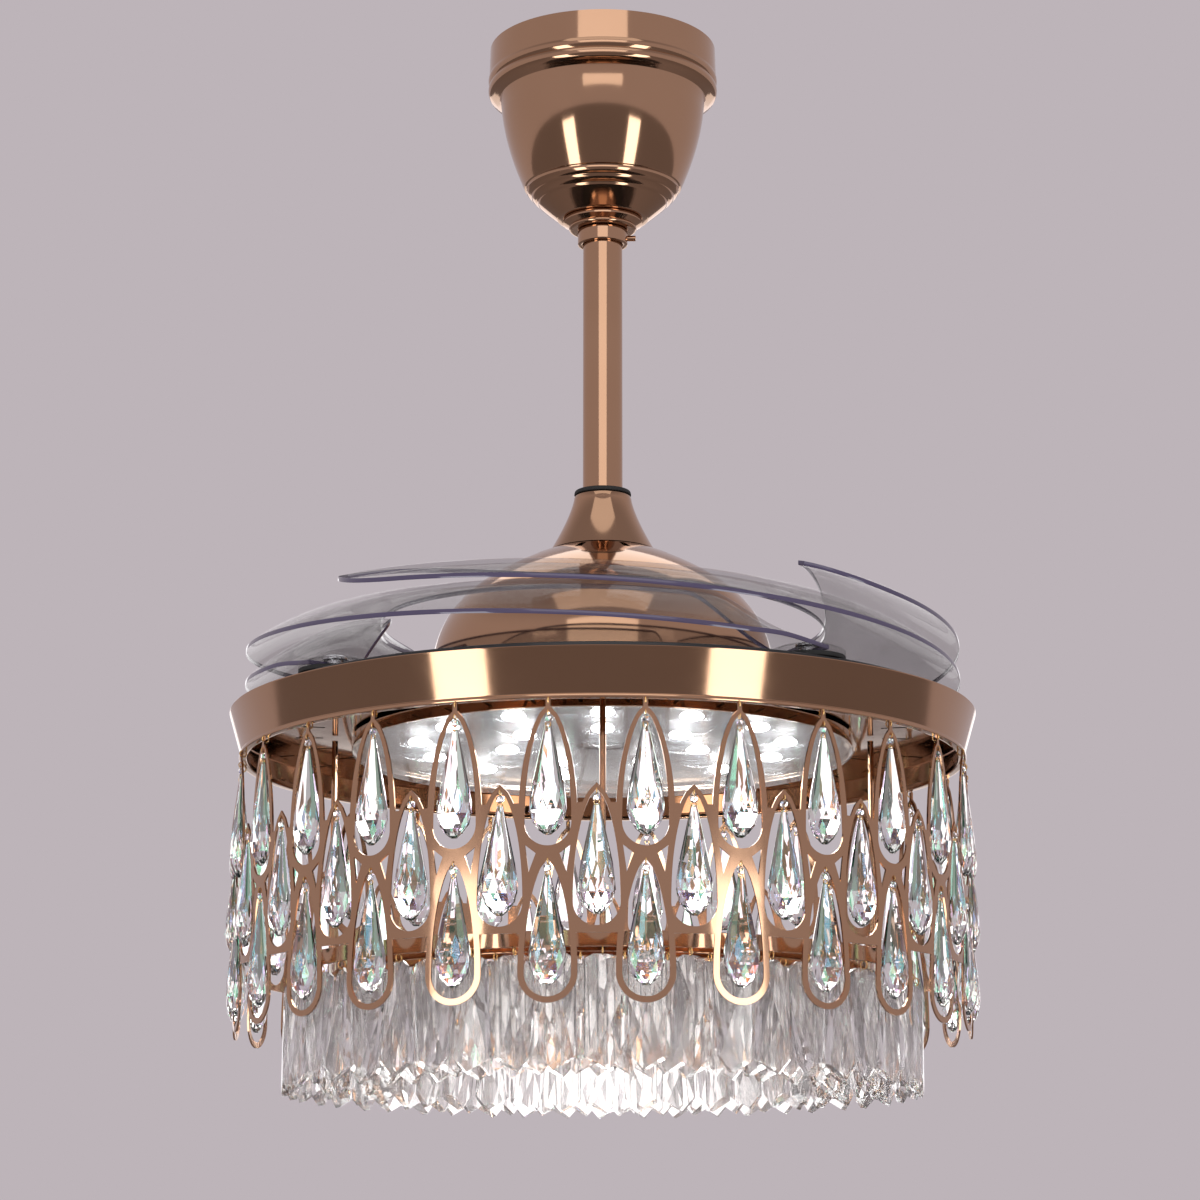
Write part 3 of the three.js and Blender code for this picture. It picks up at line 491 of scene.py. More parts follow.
def turned(bm: bmesh.types.BMesh, degrees: float, axis: str) -> bmesh.types.BMesh:
    """Turns a mesh about an axis through the origin and returns it."""
    bmesh.ops.rotate(bm, cent=(0, 0, 0), matrix=Matrix.Rotation(math.radians(degrees), 3, axis),
                     verts=bm.verts)
    return bm


def wire_ring(radius: float, wire: float, sides: int = 14) -> bmesh.types.BMesh:
    """Makes a closed ring of round wire that stands in the x-z plane.

    Args:
        radius: Radius of the ring's middle line in millimetres.
        wire: Radius of the wire.
        sides: Steps round the ring.

    Returns:
        The ring.
    """
    bm = spun(arc((radius, 0), wire, 0, 360, 6)[:-1], sides)
    return turned(bm, 90, "X")


@dataclass(frozen=True)
class Place:
    """Where a piece belongs: the body it rides on, its slot and the nodes it stands for."""

    body: str
    slot: str
    stands_for: tuple[str, ...] = ()


def add_piece(name: str, bm: bmesh.types.BMesh, place: Place, *finishes: Finish
              ) -> bpy.types.Object:
    """Makes a scene object from a mesh and ties it to the frame.

    Args:
        name: The piece's name.
        bm: Its mesh in metres, in the model's frame. It is freed.
        place: Where it belongs.
        finishes: Its finishes, in the order of the faces' material numbers.

    Returns:
        The new object.
    """
    mesh = bpy.data.meshes.new(name)
    bm.to_mesh(mesh)
    bm.free()
    piece = bpy.data.objects.new(name, mesh)
    bpy.context.scene.collection.objects.link(piece)
    for finish in finishes or (SLOT_FINISH[place.slot],):
        mesh.materials.append(finish.material())
    if place.stands_for:
        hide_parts(*place.stands_for)
    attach(piece, place.body)
    LOG.info("%s: %d faces", name, len(mesh.polygons))
    return piece


# ---- Canopy, rod and coupling -----------------------------------------------------------------
@dataclass
class Hanger:
    """The canopy, its collar, the rod, the rubber ring and the cone over the coupling."""

    canopy_top: float = -2.5
    canopy_bottom: float = -134.5
    canopy_radius: float = 79.0
    wall: float = 1.4
    band: float = 19.5
    bead_height: float = 7.0
    bead_depth: float = 1.2
    bowl_top: Point = (71.0, 38.0)
    groove: Point = (54.5, 101.0)
    groove_depth: float = 1.6
    bowl_end_radius: float = 31.0
    foot_steps: Point = (107.0, 111.5)
    step_depth: float = 0.9
    lip_radius: float = 27.5
    lip_height: float = 4.0
    hole_radius: float = 15.6
    collar_radius: float = 17.3
    collar_height: float = 10.4
    collar_top: float = -134.8
    rod_radius: float = 13.6
    rod_wall: float = 2.0
    rod_top: float = -16.8
    rod_bottom: float = -350.0
    gasket_radius: float = 19.6
    cone_top: float = -325.0
    cone_height: float = 39.0
    cone_radii: Point = (19.5, 35.8)
    clearance: float = 0.3
    sides: int = 128

    def canopy_profile(self) -> list[Point]:
        """Returns the closed profile of the canopy, outside first and then inside."""
        top = self.canopy_top
        outer: list[Point] = [(self.canopy_radius, top)]
        for number in range(2):
            start = top - self.band - number * self.bead_height
            for i in range(1, 9):
                t = i / 8
                bulge = self.bead_depth * math.sin(math.pi * t) ** 0.8 if 0 < t < 1 else 0.0
                outer.append((self.canopy_radius + bulge, start - self.bead_height * t))
        for i in range(1, 17):
            t = i / 16
            radius = self.groove[0] + (self.bowl_top[0] - self.groove[0]) * (1 - t ** 1.7)
            outer.append((radius, top - self.bowl_top[1]
                          - (self.groove[1] - self.bowl_top[1]) * t))
        outer.insert(-16, (self.bowl_top[0] + 4.6, top - self.bowl_top[1] + 3.4))
        outer.insert(-16, (self.bowl_top[0] + 1.2, top - self.bowl_top[1] + 1.6))
        end_drop = self.canopy_bottom - top + 2 * self.lip_height
        groove_top = top - self.groove[1]
        inside_groove = self.groove[0] - self.groove_depth
        outer += [(inside_groove + 0.4, groove_top - 0.5), (inside_groove, groove_top - 1.4)]
        for i in range(1, 33):
            t = i / 32
            radius = inside_groove + 0.5 - (inside_groove + 0.5 - self.bowl_end_radius) * t ** 1.2
            height = groove_top - 1.9 + (top + end_drop - groove_top + 1.9) * t
            dents = [max(0.0, 1 - abs(top - height - drop) / 1.2) for drop in self.foot_steps]
            outer.append((radius - self.step_depth * max(dents), height))
        lip = top + end_drop
        outer.append((self.lip_radius + 0.6, lip))
        outer += arc((self.lip_radius - 1.2, lip - 1.2), 1.2, 90, 0, 3)
        outer.append((self.lip_radius, lip - self.lip_height + 1))
        foot = self.lip_radius - self.lip_height
        outer += arc((foot - 1.5, self.canopy_bottom + 1.5), 1.5, 40, -90, 5)
        outer.append((self.hole_radius, self.canopy_bottom))
        inner = [(self.hole_radius, self.canopy_bottom + self.wall),
                 (foot - 2 * self.wall, self.canopy_bottom + self.wall),
                 (self.lip_radius - self.wall, lip + self.wall),
                 (self.bowl_end_radius - self.wall, lip + 2 * self.wall)]
        for i in range(5, -1, -1):
            t = i / 5
            radius = self.groove[0] + (self.bowl_top[0] - self.groove[0]) * (1 - t ** 1.7)
            inner.append((radius - 2 * self.wall, top - self.bowl_top[1]
                          - (self.groove[1] - self.bowl_top[1]) * t + self.wall))
        inner += [(self.canopy_radius - self.wall, top - self.band - 2 * self.bead_height + 1),
                  (self.canopy_radius - self.wall, top)]
        return outer + inner

    def build_canopy(self) -> None:
        """Builds the canopy, the collar under it and the collar's socket screw."""
        bm = spun(self.canopy_profile(), self.sides)
        soften(bm, 40)
        add_piece("canopy_shell", bm, Place("canopy", "rose_gold", ("canopy",)))
        top, bottom = self.collar_top, self.collar_top - self.collar_height
        bore = self.rod_radius + self.clearance
        bm = spun(rounded([(bore, bottom), (self.collar_radius, bottom),
                           (self.collar_radius, top), (bore, top)], 1.0), 96)
        soften(bm)
        add_piece("collar_ring", bm, Place("canopy", "rose_gold", ("canopy_collar",)))
        screw = spun(rounded([(1.0, 7.4), (1.0, 9.0), (2.0, 9.0), (2.0, 0), (0, 0), (0, 7.4)],
                             0.25, 2), 24)
        soften(screw)
        turned(screw, 90, "Y")
        moved(screw, bore, 0, (top + bottom) / 2)
        add_piece("collar_set_screw", screw, Place("canopy", "rose_gold", ("collar_screw",)))

    def build_rod(self) -> None:
        """Builds the rod, the rubber ring on the cone and the cone itself."""
        inner = self.rod_radius - self.rod_wall
        bm = spun(rounded([(inner, self.rod_bottom), (self.rod_radius, self.rod_bottom),
                           (self.rod_radius, self.rod_top), (inner, self.rod_top)], 0.5), 64)
        soften(bm)
        add_piece("hanging_rod", bm, Place("hanger", "rose_gold", ("downrod",)))
        low, high = self.cone_top + self.clearance, self.cone_top + 3.3
        bore = self.rod_radius + 0.2
        bm = spun(rounded([(bore, low), (self.gasket_radius, low),
                           (self.gasket_radius - 0.6, high), (bore, high)], 0.9), 64)
        soften(bm)
        add_piece("rubber_ring", bm, Place("hanger", "black_rubber", ("rod_gasket",)))
        top_radius, foot_radius = self.cone_radii
        bore = self.rod_radius + self.clearance
        flare = [(bore, self.cone_top), (top_radius - 2, self.cone_top),
                 (top_radius - 0.6, self.cone_top - 0.5)]
        for i in range(17):
            t = i / 16
            flare.append((top_radius + (foot_radius - top_radius) * t ** 1.35,
                          self.cone_top - 1.6 - (self.cone_height - 1.6) * t))
        walls = [(r - 1.2, z - 0.4 if z < self.cone_top - 1 else z - 1.2)
                 for r, z in reversed(flare[1:])]
        walls[0] = (foot_radius - 1.2, self.cone_top - self.cone_height)
        bm = spun(flare + walls + [(bore, self.cone_top - 1.2)], self.sides)
        soften(bm, 40)
        add_piece("cone_cover", bm, Place("hanger", "rose_gold", ("coupling_cover",)))

    def build(self) -> None:
        """Builds all the pieces of the class."""
        self.build_canopy()
        self.build_rod()


# ---- Motor dome ----------------------------------------------------------------------------
@dataclass
class MotorDome:
    """The bell over the motor, with its ring of vent slots."""

    top: float = -364.3
    height: float = 108.0
    radius: float = 117.0
    neck_radius: float = 35.8
    hole_radius: float = 18.0
    curve: float = 2.4
    rim_pull: float = 0.28
    vent_radius: float = 47.0
    vent_length: float = 13.0
    vents: int = 10
    sides: int = 140
    wall: float = 1.2

    def radius_at(self, t: float) -> float:
        """Returns the dome's radius at a share of the way down."""
        return self.radius - (self.radius - self.neck_radius) * (1 - t) ** self.curve

    def height_at(self, t: float) -> float:
        """Returns the dome's height at a share of the way down."""
        return self.top - self.height * (t * (1 - self.rim_pull) + self.rim_pull * t ** 3)

    def share_of(self, radius: float) -> float:
        """Returns the share of the way down where the dome has this radius."""
        return 1 - ((self.radius - radius) / (self.radius - self.neck_radius)) ** (1 / self.curve)

    def build(self) -> None:
        """Builds the dome and cuts its slots out of the grid before it gets a wall."""
        inside = self.share_of(self.vent_radius - self.vent_length / 2)
        outside = self.share_of(self.vent_radius + self.vent_length / 2)
        shares = [0.0, inside * 0.5, inside]
        shares += [inside + (outside - inside) * i / 4 for i in (1, 2, 3, 4)]
        shares += [outside + (1 - outside) * (i / 26) ** 1.1 for i in range(1, 27)]
        profile = [(self.hole_radius, self.top), (self.neck_radius - 4, self.top)]
        profile += [(self.radius_at(t), self.height_at(t)) for t in shares]
        bm = spun(profile, self.sides, closed=False)
        low, high = self.height_at(outside) * MM, self.height_at(inside) * MM
        pitch = FULL_TURN / self.vents
        half = 1.05 * FULL_TURN / self.sides
        doomed = []
        for face in bm.faces:
            centre = face.calc_center_median()
            angle = (math.atan2(centre.y, centre.x) + pitch / 2) % pitch - pitch / 2
            if low < centre.z < high and abs(angle) < half:
                doomed.append(face)
        bmesh.ops.delete(bm, geom=doomed, context="FACES")
        soften(bm, 40)
        piece = add_piece("motor_bell", bm, Place("hanger", "rose_gold", ("motor_dome",)))
        wall = piece.modifiers.new("wall", "SOLIDIFY")
        wall.thickness = self.wall * MM
        wall.offset = -1


# ---- Blade carrier and blades -----------------------------------------------------------------
@dataclass
class BladeCarrier:
    """The black plate that turns with the motor and the four blades on it."""

    plate_top: float = -475.3
    plate_bottom: float = -477.3
    rim_bottom: float = -487.0
    plate_radius: float = 237.0
    rim_wall: float = 2.0
    hole_radius: float = 22.0
    pivot_radius: float = 213.5
    first_angle: float = 37.0
    count: int = 4
    blade_arc: float = 180.0
    outer_radius: float = 240.0
    inner_radius: float = 150.0
    tip_radius: float = 208.0
    tip_width: float = 6.0
    tip_shares: Point = (0.12, 0.32)
    tip_curve: float = 2.6
    root_share: float = 0.09
    root_outside: float = 20.0
    root_inside: float = 22.0
    thickness: float = 3.0
    edge_heights: Point = (5.0, 49.0)
    edge_rises: Point = (45.0, 13.0)
    camber: float = 10.0
    hub_radius: float = 24.0
    hub_height: float = 9.0
    washer_height: float = 3.0
    pin_radius: float = 5.0
    clearance: float = 0.3
    stations: int = 150
    strands: int = 14

    def build(self) -> None:
        """Builds the plate and the blades with their bosses and screws."""
        top, low = self.plate_top, self.rim_bottom
        inner = self.plate_radius - self.rim_wall
        bm = spun(rounded([(self.hole_radius, self.plate_bottom), (inner, self.plate_bottom),
                           (inner, low), (self.plate_radius, low), (self.plate_radius, top),
                           (self.hole_radius, top)], 1.6), 192)
        holes = [self.pivot_hole(number) for number in range(self.count)]
        bm = carved(bm, merged(*holes))
        soften(bm)
        add_piece("black_disc", bm, Place("rotor", "black_paint", ("blade_plate",)))
        for number in range(self.count):
            self.build_blade(number)

    def pivot_hole(self, number: int) -> bmesh.types.BMesh:
        """Builds the cutter of the hole in the plate that a blade's screw passes through.

        Args:
            number: The blade's number, from 0.

        Returns:
            The cutter.
        """
        radius = (self.pin_radius + self.clearance) * MM
        bm = bmesh.new()
        bmesh.ops.create_cone(bm, cap_ends=True, segments=48, radius1=radius, radius2=radius,
                              depth=3 * (self.plate_top - self.plate_bottom) * MM)
        moved(bm, self.pivot_radius, 0, (self.plate_top + self.plate_bottom) / 2)
        return turned(bm, self.first_angle + number * 360 / self.count, "Z")

    def blade_point(self, along: float, across: float) -> Vector:
        """Gives a point on the underside of a blade whose pivot lies on +X.

        Args:
            along: Share of the way from root to tip.
            across: Share of the way from the outer edge to the inner one.

        Returns:
            The point in millimetres.
        """
        def between(a: float, b: float, t: float) -> float:
            """Returns the value a share of the way from a to b."""
            return a + (b - a) * t

        def to_tip(share: float) -> float:
            """Returns how far an edge has run to the tip within its share of the length."""
            return max(0.0, 1 - (1 - along) / share) ** self.tip_curve

        reach = min(along / self.root_share, 1.0)
        root = reach * reach * (3 - 2 * reach)
        outer = between(between(self.pivot_radius + self.root_outside, self.outer_radius, root),
                        self.tip_radius + self.tip_width / 2, to_tip(self.tip_shares[0]))
        inner = between(between(self.pivot_radius - self.root_inside, self.inner_radius, root),
                        self.tip_radius - self.tip_width / 2, to_tip(self.tip_shares[1]))
        radius = between(outer, inner, across)
        inwards = (self.outer_radius - radius) / (self.outer_radius - self.inner_radius)
        low, high = (start + rise * along
                     for start, rise in zip(self.edge_heights, self.edge_rises))
        bulge = self.camber * 4 * inwards * (1 - inwards)
        height = self.plate_top + low + ((high - low) * inwards + bulge) * root
        angle = -math.radians(self.blade_arc) * along
        return Vector((radius * math.cos(angle), radius * math.sin(angle), height))

    def blade_mesh(self) -> bmesh.types.BMesh:
        """Builds one blade about +X, with the faces round its edge in the second finish."""
        bm = bmesh.new()
        bmesh.ops.create_grid(bm, x_segments=self.stations, y_segments=self.strands, size=0.5)
        for vert in bm.verts:
            place = self.blade_point(vert.co.x + 0.5, vert.co.y + 0.5)
            vert.co = place * MM
        sheet = bm.faces[:]
        raised = bmesh.ops.extrude_face_region(bm, geom=sheet, use_keep_orig=True)
        lifted = [v for v in raised["geom"] if isinstance(v, bmesh.types.BMVert)]
        bmesh.ops.translate(bm, vec=(0, 0, self.thickness * MM), verts=lifted)
        bmesh.ops.recalc_face_normals(bm, faces=bm.faces)
        rim = [f for f in bm.faces if abs(f.normal.z) < 0.5]
        for face in rim:
            face.material_index = 1
        rim_faces = set(rim)
        edges = [e for e in bm.edges
                 if len(e.link_faces) == 2 and len(rim_faces.intersection(e.link_faces)) == 1]
        result = bmesh.ops.bevel(bm, geom=edges, offset=1.0 * MM, segments=2, profile=0.5,
                                 affect="EDGES", material=1, clamp_overlap=True)
        for face in result["faces"]:
            face.material_index = 1
        return bm

    def build_blade(self, number: int) -> None:
        """Builds a blade with its boss, and the screw that it turns on.

        Args:
            number: The blade's number, from 0.
        """
        angle = self.first_angle + number * 360 / self.count
        base = self.plate_top + self.clearance
        hub_top = base + self.hub_height
        bm = self.blade_mesh()
        bore = self.pin_radius + self.clearance
        washer_top = base + self.washer_height
        wide = self.hub_radius
        washer = spun(rounded([(bore, base), (wide - 0.5, base), (wide - 0.5, washer_top),
                               (bore, washer_top)], 0.6), 64)
        for face in washer.faces:
            face.material_index = 2
        boss = spun(rounded([(bore, washer_top + 0.1), (wide, washer_top + 0.1),
                             (wide, hub_top - 2.6), (wide - 1.8, hub_top - 1.6),
                             (wide - 5, hub_top - 1.6), (wide - 5.6, hub_top),
                             (wide - 8.4, hub_top), (wide - 9, hub_top - 1.6),
                             (bore, hub_top - 1.6)], 0.5), 64)
        boss = merged(washer, boss)
        moved(boss, self.pivot_radius)
        whole = merged(bm, boss)
        soften(whole, 40)
        turned(whole, angle, "Z")
        body = f"blade_{number + 1}"
        add_piece(f"clear_{body}", whole, Place(body, "smoky_blade", (body,)), BLADE, BLADE_EDGE,
                  RUBBER)
        foot, head = self.rim_bottom + self.clearance, hub_top + self.clearance
        screw = spun(rounded([(0, foot), (self.pin_radius, foot), (self.pin_radius, head),
                              (8, head), (8, head + 1.4), (6.6, head + 2.6), (2.8, head + 2.6),
                              (2.8, head + 0.8), (0, head + 0.8)], 0.4), 48)
        soften(screw)
        moved(screw, self.pivot_radius)
        turned(screw, angle, "Z")
        add_piece(f"blade_screw_{number + 1}", screw,
                  Place(body, "steel", (f"blade_pin_{number + 1}",)))


# ---- Lamp ring and light module ---------------------------------------------------------------
@dataclass
class LampBody:
    """The flared ring, the mirror pan inside it and the lit module under the pan."""

    ring_top: float = -480.3
    ring_bottom: float = -508.8
    lip_bottom: float = -511.3
    top_radius: float = 250.0
    bottom_radius: float = 241.8
    lip_radius: float = 243.0
    flange: float = 4.0
    wall: float = 1.2
    pan_top: float = -492.8
    pan_bottom: float = -494.3
    pan_radius: float = 244.4
    module_radius: float = 168.0
    module_top: float = -494.6
    module_bottom: float = -502.6
    board_top: float = -496.4
    board_bottom: float = -498.0
    board_radius: float = 160.0
    lens_top: float = -502.9
    lens_bottom: float = -506.5
    hole_radius: float = 18.0
    outer_leds: tuple[float, int] = (123.0, 13)
    inner_leds: tuple[float, int] = (66.0, 7)
    pan_bore: float = 10.3
    pan_sides: int = 360
    pan_steps: tuple[float, ...] = (60.0, 120.0, 168.0, 178.0)
    inner_slots: Point = (188.0, 206.0)
    outer_slots: Point = (216.0, 234.0)
    slot_pitch: int = 12
    module_wall: float = 1.5
    chip_profile: tuple[Point, ...] = ((0.0, -2.6), (4.0, -2.4), (6.6, -1.6), (7.8, -0.3),
                                       (7.8, 0.0), (0.0, 0.0))
    dome_radius: float = 12.5
    dome_bead: float = 1.3
    bump_profile: tuple[Point, ...] = ((0.0, -3.4), (5.0, -3.1), (9.5, -2.0), (12.6, -0.4),
                                       (14.0, 0.0), (0.0, 0.0))

    def build(self) -> None:
        """Builds the ring, the pan and the module."""
        inner = self.bottom_radius - self.flange
        profile = rounded([
            (self.top_radius, self.ring_top), (self.bottom_radius, self.ring_bottom),
            (self.lip_radius, self.ring_bottom - 0.1), (self.lip_radius, self.lip_bottom),
            (inner, self.lip_bottom), (inner, self.ring_bottom + self.wall),
            (self.bottom_radius - self.wall, self.ring_bottom + self.wall),
            (self.top_radius - self.wall, self.ring_top)], 0.7)
        bm = spun(profile, 256)
        soften(bm)
        add_piece("flared_ring", bm, Place("hanger", "rose_gold", ("lamp_ring",)))
        self.build_pan()
        self.build_module()

    def build_pan(self) -> None:
        """Builds the pan with two rows of slots, each slot as wide as one of its sides."""
        radii = [self.pan_bore, *self.pan_steps, *self.inner_slots, *self.outer_slots,
                 self.pan_radius]
        bm = spun([(r, self.pan_top) for r in radii], self.pan_sides, closed=False)
        rows = ((self.inner_slots, 0), (self.outer_slots, self.slot_pitch // 2))
        doomed = []
        for face in bm.faces:
            centre = face.calc_center_median()
            radius = math.hypot(centre.x, centre.y) / MM
            column = math.floor(math.degrees(math.atan2(centre.y, centre.x))) % self.slot_pitch
            if any(low < radius < high and column == start for (low, high), start in rows):
                doomed.append(face)
        bmesh.ops.delete(bm, geom=doomed, context="FACES")
        soften(bm)
        piece = add_piece("mirror_pan", bm, Place("hanger", "mirror_gold", ("lamp_pan",)))
        wall = piece.modifiers.new("wall", "SOLIDIFY")
        wall.thickness = (self.pan_top - self.pan_bottom) * MM
        wall.offset = -1

    def led_angles(self, count: int) -> list[float]:
        """Returns evenly spaced angles, with the first one nearest the viewer."""
        return [-math.pi / 2 + FULL_TURN * i / count for i in range(count)]

    def build_module(self) -> None:
        """Builds the module's cup, its board, emitters, lenses and cover."""
        wall = self.module_wall
        top, low, radius = self.module_top, self.module_bottom, self.module_radius
        bm = spun(rounded([(self.hole_radius, top), (self.hole_radius, top - wall),
                           (radius - wall - 4, top - wall), (radius - wall, top - wall - 3),
                           (radius - wall, low), (radius, low), (radius, top)], 0.6), 192)
        soften(bm)
        add_piece("module_cup", bm, Place("hanger", "mirror_gold", ("lamp_base",)))
        bm = spun(rounded([(self.hole_radius, self.board_bottom),
                           (self.board_radius, self.board_bottom),
                           (self.board_radius, self.board_top),
                           (self.hole_radius, self.board_top)], 0.3), 128)
        soften(bm)
        add_piece("emitter_board", bm, Place("hanger", "board_white", ("led_board",)))
        rows = (self.outer_leds, self.inner_leds)
        chips, domes, bumps = [], [], []
        for ring_radius, count in rows:
            angles = self.led_angles(count)
            chip = spun(list(self.chip_profile), 20)
            chips.append(round_copies(moved(chip, 0, 0, self.board_bottom), ring_radius, angles))
            dome = spun(arc((self.dome_radius, -self.dome_bead), self.dome_bead, 0, 360, 8)[:-1],
                        28)
            domes.append(round_copies(moved(dome, 0, 0, self.board_bottom), ring_radius, angles))
            bump = spun(list(self.bump_profile), 28)
            bumps.append(round_copies(moved(bump, 0, 0, self.lens_bottom), ring_radius, angles))
        bm = merged(*chips)
        soften(bm)
        add_piece("lit_emitters", bm, Place("hanger", "board_white"), LED)
        bm = merged(*domes)
        soften(bm)
        add_piece("emitter_lenses", bm, Place("hanger", "clear_plastic"), CLEAR)
        cover = spun(rounded([(0, self.lens_top), (0, self.lens_bottom),
                              (radius - 3, self.lens_bottom), (radius, self.lens_bottom + 2),
                              (radius, self.lens_top)], 0.6), 160)
        bm = merged(cover, *bumps)
        soften(bm)
        add_piece("module_cover", bm, Place("hanger", "clear_plastic", ("lens_cover",)))


# ---- Screen of teardrop windows with its crystals -----------------------------------------------
@dataclass
class CrystalScreen:
    """The stamped strip with three rows of windows, and the crystal that hangs in each."""

    top: float = -515.3
    lip_bottom: float = -511.3
    radius: float = 243.0
    columns: int = 26
    first_angle: float = -153.15
    half_width: float = 14.2
    window_height: float = 82.0
    strip: float = 3.8
    metal: float = 1.2
    flank_power: float = 0.65
    rows: tuple[float, float, float] = (0.0, 48.0, 90.0)
    web_top: float = 60.0
    web_bottom: float = 138.0
    edge: float = 0.3
    outline: int = 56
    cuts: int = 12
    notch_corners: tuple[Point, ...] = ((13.7, 0.4), (7.2, -4.6), (11.4, -15.8))
    crystal_half: Point = (11.4, 6.4)
    crystal_sides: int = 12
    # How far down each ring of corners lies, its share of the size, and its half steps of turn.
    crystal_rings: tuple[tuple[float, float, int], ...] = (
        (9.0, 0.16, 0), (44.0, 0.84, 0), (54.0, 0.98, 1), (61.0, 1.0, 0), (67.5, 0.84, 1),
        (72.5, 0.52, 0), (75.5, 0.18, 1))
    bead_radius: float = 2.9
    bead_drop: float = 5.2
    # Each wire ring's radius, the radius of its wire, and how far down its middle lies.
    top_ring: Spot = (2.2, 0.5, 1.6)
    bead_ring: Spot = (1.7, 0.38, 1.2)
    crystal_ring: Spot = (1.5, 0.38, 8.4)

    @property
    def pitch(self) -> float:
        """Returns the width of one column along the ring."""
        return FULL_TURN * self.radius / self.columns

    def shift(self, row: int) -> float:
        """Returns how far a row stands to the side of the first one."""
        return self.pitch / 2 if row == 1 else 0.0

    def tear(self, margin: float, thickness: float) -> bmesh.types.BMesh:
        """Builds an upright plate in the outline of a window, tip up at height zero.

        Args:
            margin: How much wider than the window it is all round.
            thickness: The plate's thickness.

        Returns:
            The plate, facing y, in metres.
        """
        bm = bmesh.new()
        bmesh.ops.create_circle(bm, cap_ends=True, radius=1, segments=self.outline)
        wide = self.half_width + margin
        straight = self.window_height - self.half_width + margin
        for vert in bm.verts:
            angle = math.atan2(vert.co.x, vert.co.y)
            side, turn = math.copysign(1, angle), abs(angle) / (math.pi / 2)
            if turn <= 1:
                x = wide * math.sin(math.pi / 2 * turn ** self.flank_power)
                z = margin - straight * turn
            else:
                x = wide * math.cos((turn - 1) * math.pi / 2)
                z = margin - straight - wide * math.sin((turn - 1) * math.pi / 2)
            vert.co = Vector((side * x * MM, -thickness / 2 * MM, z * MM))
        self.thicken(bm, thickness)
        return bm

    def thicken(self, bm: bmesh.types.BMesh, thickness: float) -> None:
        """Gives a flat upright face a thickness along y.

        Args:
            bm: The mesh of one face.
            thickness: The thickness in millimetres.
        """
        raised = bmesh.ops.extrude_face_region(bm, geom=bm.faces[:], use_keep_orig=True)
        lifted = [v for v in raised["geom"] if isinstance(v, bmesh.types.BMVert)]
        bmesh.ops.translate(bm, vec=(0, thickness * MM, 0), verts=lifted)
        bmesh.ops.recalc_face_normals(bm, faces=bm.faces)

    def notch(self, x: float, z: float, side: int) -> bmesh.types.BMesh:
        """Builds the cutter of a small three-cornered opening beside a lower window's tip.

        Args:
            x: Middle of the window.
            z: Height of the upper window's lowest point.
            side: -1 or 1, the side of the middle that it is on.

        Returns:
            The cutter.
        """
        bm = bmesh.new()
        verts = [bm.verts.new(((x + side * a) * MM, -2 * self.metal * MM, (z + b) * MM))
                 for a, b in self.notch_corners]
        bm.faces.new(verts)
        self.thicken(bm, 4 * self.metal)
        return bm

    def cell(self) -> bmesh.types.BMesh:
        """Cuts one column of the screen from overlapping plates and rounds its edges.

        Returns:
            The flat cell, one column wide, x along the ring.
        """
        body, holes = [], []
        for column in (-1, 0, 1):
            for row, drop in enumerate(self.rows):
                x = column * self.pitch + self.shift(row)
                z = self.top - self.strip - drop
                body.append(moved(self.tear(self.strip, self.metal), x, 0, z))
                holes.append(moved(self.tear(0, 4 * self.metal), x, 0, z))
            low = self.top - self.strip - self.window_height
            holes += [self.notch(column * self.pitch, low, side) for side in (-1, 1)]
        web = block(3 * self.pitch, self.metal, self.web_bottom - self.web_top, 0.01, 1)
        body.append(moved(web, 0, 0, self.top - (self.web_top + self.web_bottom) / 2))
        tab = block(3, self.metal, self.lip_bottom - 0.3 - self.top + self.strip, 0.01, 1)
        body.append(moved(tab, 0, 0, (self.lip_bottom - 0.3 + self.top - self.strip) / 2))
        bm = carved(merged(*body), merged(*holes))
        bmesh.ops.dissolve_limit(bm, angle_limit=math.radians(0.5), verts=bm.verts,
                                 edges=bm.edges)
        sharp = [e for e in bm.edges
                 if len(e.link_faces) == 2 and e.calc_face_angle(0) > math.radians(50)
                 and abs(abs(e.verts[0].co.y) - self.metal / 2 * MM) < 1e-6
                 and abs(e.verts[0].co.y - e.verts[1].co.y) < 1e-7]
        bmesh.ops.bevel(bm, geom=sharp, offset=self.edge * MM, segments=1, profile=0.5,
                        affect="EDGES", material=-1, clamp_overlap=True)
        return bm

    def bent(self, bm: bmesh.types.BMesh) -> bmesh.types.BMesh:
        """Trims a flat cell to one column, bends it and repeats it into a closed ring.

        Args:
            bm: The flat cell. It is freed.

        Returns:
            The ring.
        """
        half = self.pitch / 2 * MM
        for side in (-1, 1):
            bmesh.ops.bisect_plane(bm, geom=bm.verts[:] + bm.edges[:] + bm.faces[:],
                                   plane_co=(side * half, 0, 0), plane_no=(side, 0, 0),
                                   clear_outer=True)
        for i in range(1, self.cuts):
            bmesh.ops.bisect_plane(bm, geom=bm.verts[:] + bm.edges[:] + bm.faces[:],
                                   plane_co=(-half + 2 * half * i / self.cuts, 0, 0),
                                   plane_no=(1, 0, 0))
        radius = self.radius * MM
        for vert in bm.verts:
            angle = -vert.co.x / radius
            reach = radius + vert.co.y
            vert.co = Vector((-reach * math.sin(angle), reach * math.cos(angle) - radius,
                              vert.co.z))
        angles = [math.radians(self.first_angle) + FULL_TURN * i / self.columns
                  for i in range(self.columns)]
        ring = round_copies(bm, self.radius, angles)
        bmesh.ops.remove_doubles(ring, verts=ring.verts, dist=2e-5)
        return ring

